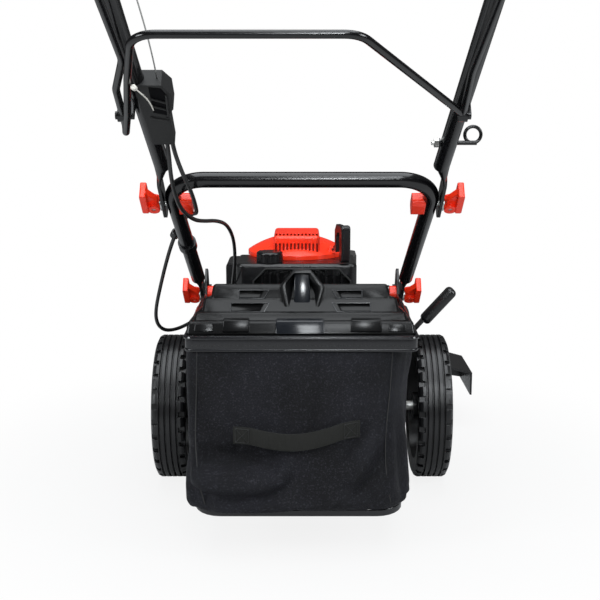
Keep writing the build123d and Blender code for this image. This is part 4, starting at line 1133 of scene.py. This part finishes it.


# The well's near-black, barely reflecting finish is painted shade for the depth of the opening.
well_painted_shade = moulding(
    "well_painted_shade",
    (0.0015, 0.0015, 0.002),
    roughness=0.4,
    grain=0.00003,
    grain_scale=900,
)
well_painted_shade.skin_is(Specular_IOR_Level=0.05)
box_face = -0.012
well = [(-0.1835, 0.514), (-0.1650, 0.508), (-0.1635, 0.549), (-0.1690, 0.561), (-0.1835, 0.563)]
rib_low = [(-0.183, 0.527), (-0.165, 0.519), (-0.165, 0.5215), (-0.183, 0.5295)]
rib_high = [(-0.183, 0.541), (-0.165, 0.533), (-0.165, 0.5355), (-0.183, 0.5435)]
side_wall = [(-0.1665, 0.508), (-0.1640, 0.508), (-0.1625, 0.549), (-0.1650, 0.549)]
lip = [(-0.1880, 0.5025), (-0.1655, 0.4955), (-0.1655, 0.4985), (-0.1880, 0.5055)]
box_details = [
    ("cable_box_painted_shade", well, box_face - 0.0006, box_face + 0.002, well_painted_shade, 0.0002),
    ("cable_box_rib_low", rib_low, -0.0145, -0.011, grey_plastic, 0.0005),
    ("cable_box_rib_high", rib_high, -0.0145, -0.011, grey_plastic, 0.0005),
    ("cable_box_wall", side_wall, -0.0150, -0.011, grey_plastic, 0.0006),
    ("cable_box_lip", lip, -0.0140, -0.009, grey_plastic, 0.0008),
]
for name, outline, low, high, finish, rounding in box_details:
    detail = on_box(name, outline, low, high)
    round_edges(detail, rounding, segments=2)
    detail.data.materials.append(finish.material)
    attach(detail, "upper_handle")


# The cables' inner wires leave the box. The stop wire has a white nylon coat and hooks onto the bail
# with a moulded nipple. The speed wire is bare steel and goes up to the speed lever. Both are drawn
# along a spline as thin tubes.
wire_r = 0.0009


def control_wire(name, points, finish):
    """Wire from the cable box towards a lever."""
    wire = line_through(name, points)
    centre = points_of(wire)
    tube_mesh(wire, wire_r, resolution=2)
    wire.data.materials.append(finish.material)
    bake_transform(wire)


white_plastic = moulding(
    "nipple_white",
    (0.62, 0.60, 0.55),
    roughness=0.3,
    grain=0.00003,
    grain_scale=900,
    edge=0.0006,
)
wire_points = [
    on_handle(-0.1825, 0.520, -0.0130),
    on_handle(-0.1822, 0.550, -0.0240),
    on_handle(-0.1845, 0.592, -0.0450),
    on_handle(-0.1892, 0.620, -0.0575),
]
control_wire("stop_wire", wire_points, white_plastic)
speed_wire_points = [
    on_handle(-0.1735, 0.560, 0.0000),
    on_handle(-0.1730, 0.620, -0.0020),
    on_handle(-0.1830, 0.720, 0.0080),
    on_handle(-0.1962, 0.812, 0.0240),
]
control_wire("speed_wire", speed_wire_points, zinc)
nipple_r = 0.0032
nipple_length = 0.008
nipple_run = Vector(wire_points[-1]) - Vector(wire_points[-2])
select_none()
bpy.ops.mesh.primitive_cylinder_add(
    vertices=24,
    radius=nipple_r,
    depth=nipple_length,
    location=wire_points[-1],
)
nipple = bpy.context.object
nipple.name = "stop_wire_nipple"
nipple.rotation_euler = nipple_run.to_track_quat("Z", "Y").to_euler()
settle(nipple)
round_edges(nipple, 0.0012)
bpy.ops.object.shade_smooth_by_angle(angle=radians(40))
nipple.data.materials.append(white_plastic.material)
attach(nipple, "stop_bail")


# The height lever ends in a moulded sleeve, pushed over its bent steel plate.
# A box is rounded all over and laid along the plate.
sleeve_top = Vector((0.2580, -0.2492, 0.3129))
sleeve_foot = Vector((0.2075, -0.2492, 0.2570))
sleeve_width = 0.0265
sleeve_thickness = 0.0185
sleeve_run = sleeve_top - sleeve_foot
select_none()
bpy.ops.mesh.primitive_cube_add(size=1, location=(sleeve_top + sleeve_foot) / 2)
sleeve = bpy.context.object
sleeve.name = "height_lever_sleeve"
sleeve.scale = (sleeve_width, sleeve_thickness, sleeve_run.length)
sleeve.rotation_euler = sleeve_run.to_track_quat("Z", "Y").to_euler()
settle(sleeve)
round_edges(sleeve, 0.0075, segments=6)
bpy.ops.object.shade_smooth_by_angle(angle=radians(40))
sleeve.data.materials.append(satin_plastic.material)
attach(sleeve, "rear_axle")


# Behind the recoil cover's slits lies a red baffle, so that no fan shows through them.
# It is two thin flat plates, one inside the cover's rear and one under its top.
baffle_left = -0.049
baffle_right = 0.029
baffle_red = moulding(
    "baffle_red",
    (0.30, 0.010, 0.004),
    roughness=0.4,
    grain=0.00003,
    grain_scale=900,
)
for name, rear_top, rear_foot, front_top, front_foot in (
    ("recoil_baffle_rear", (-0.0705, 0.374), (-0.0705, 0.350), (-0.0695, 0.374), (-0.0695, 0.350)),
    ("recoil_baffle_top", (-0.0695, 0.376), (-0.0695, 0.375), (-0.0290, 0.376), (-0.0290, 0.375)),
):
    baffle = wedge(name, baffle_left, baffle_right, rear_top, rear_foot, front_top, front_foot)
    baffle.data.materials.append(baffle_red.material)
    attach(baffle, "deck")


# The recess in the tank's rear face has a raised rim, moulded with the tank.
# A round bead is drawn along the recess's eight sides.
rim_half = 0.088
rim_low = 0.218
rim_top = 0.329
rim_corner = 0.022
rim_y = -0.135
rim_r = 0.0018
rim_corners = [
    (-rim_half, rim_low + rim_corner),
    (-rim_half, rim_top - rim_corner),
    (-rim_half + rim_corner, rim_top),
    (rim_half - rim_corner, rim_top),
    (rim_half, rim_top - rim_corner),
    (rim_half, rim_low + rim_corner),
    (rim_half - rim_corner, rim_low),
    (-rim_half + rim_corner, rim_low),
]
rim_points = [(x_here, rim_y, z_here) for x_here, z_here in rim_corners]
tank_rim = line_through("tank_recess_rim", rim_points, "POLY", closed=True)
tube_mesh(tank_rim, rim_r)
tank_rim.data.materials.append(grey_plastic.material)
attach(tank_rim, "deck")
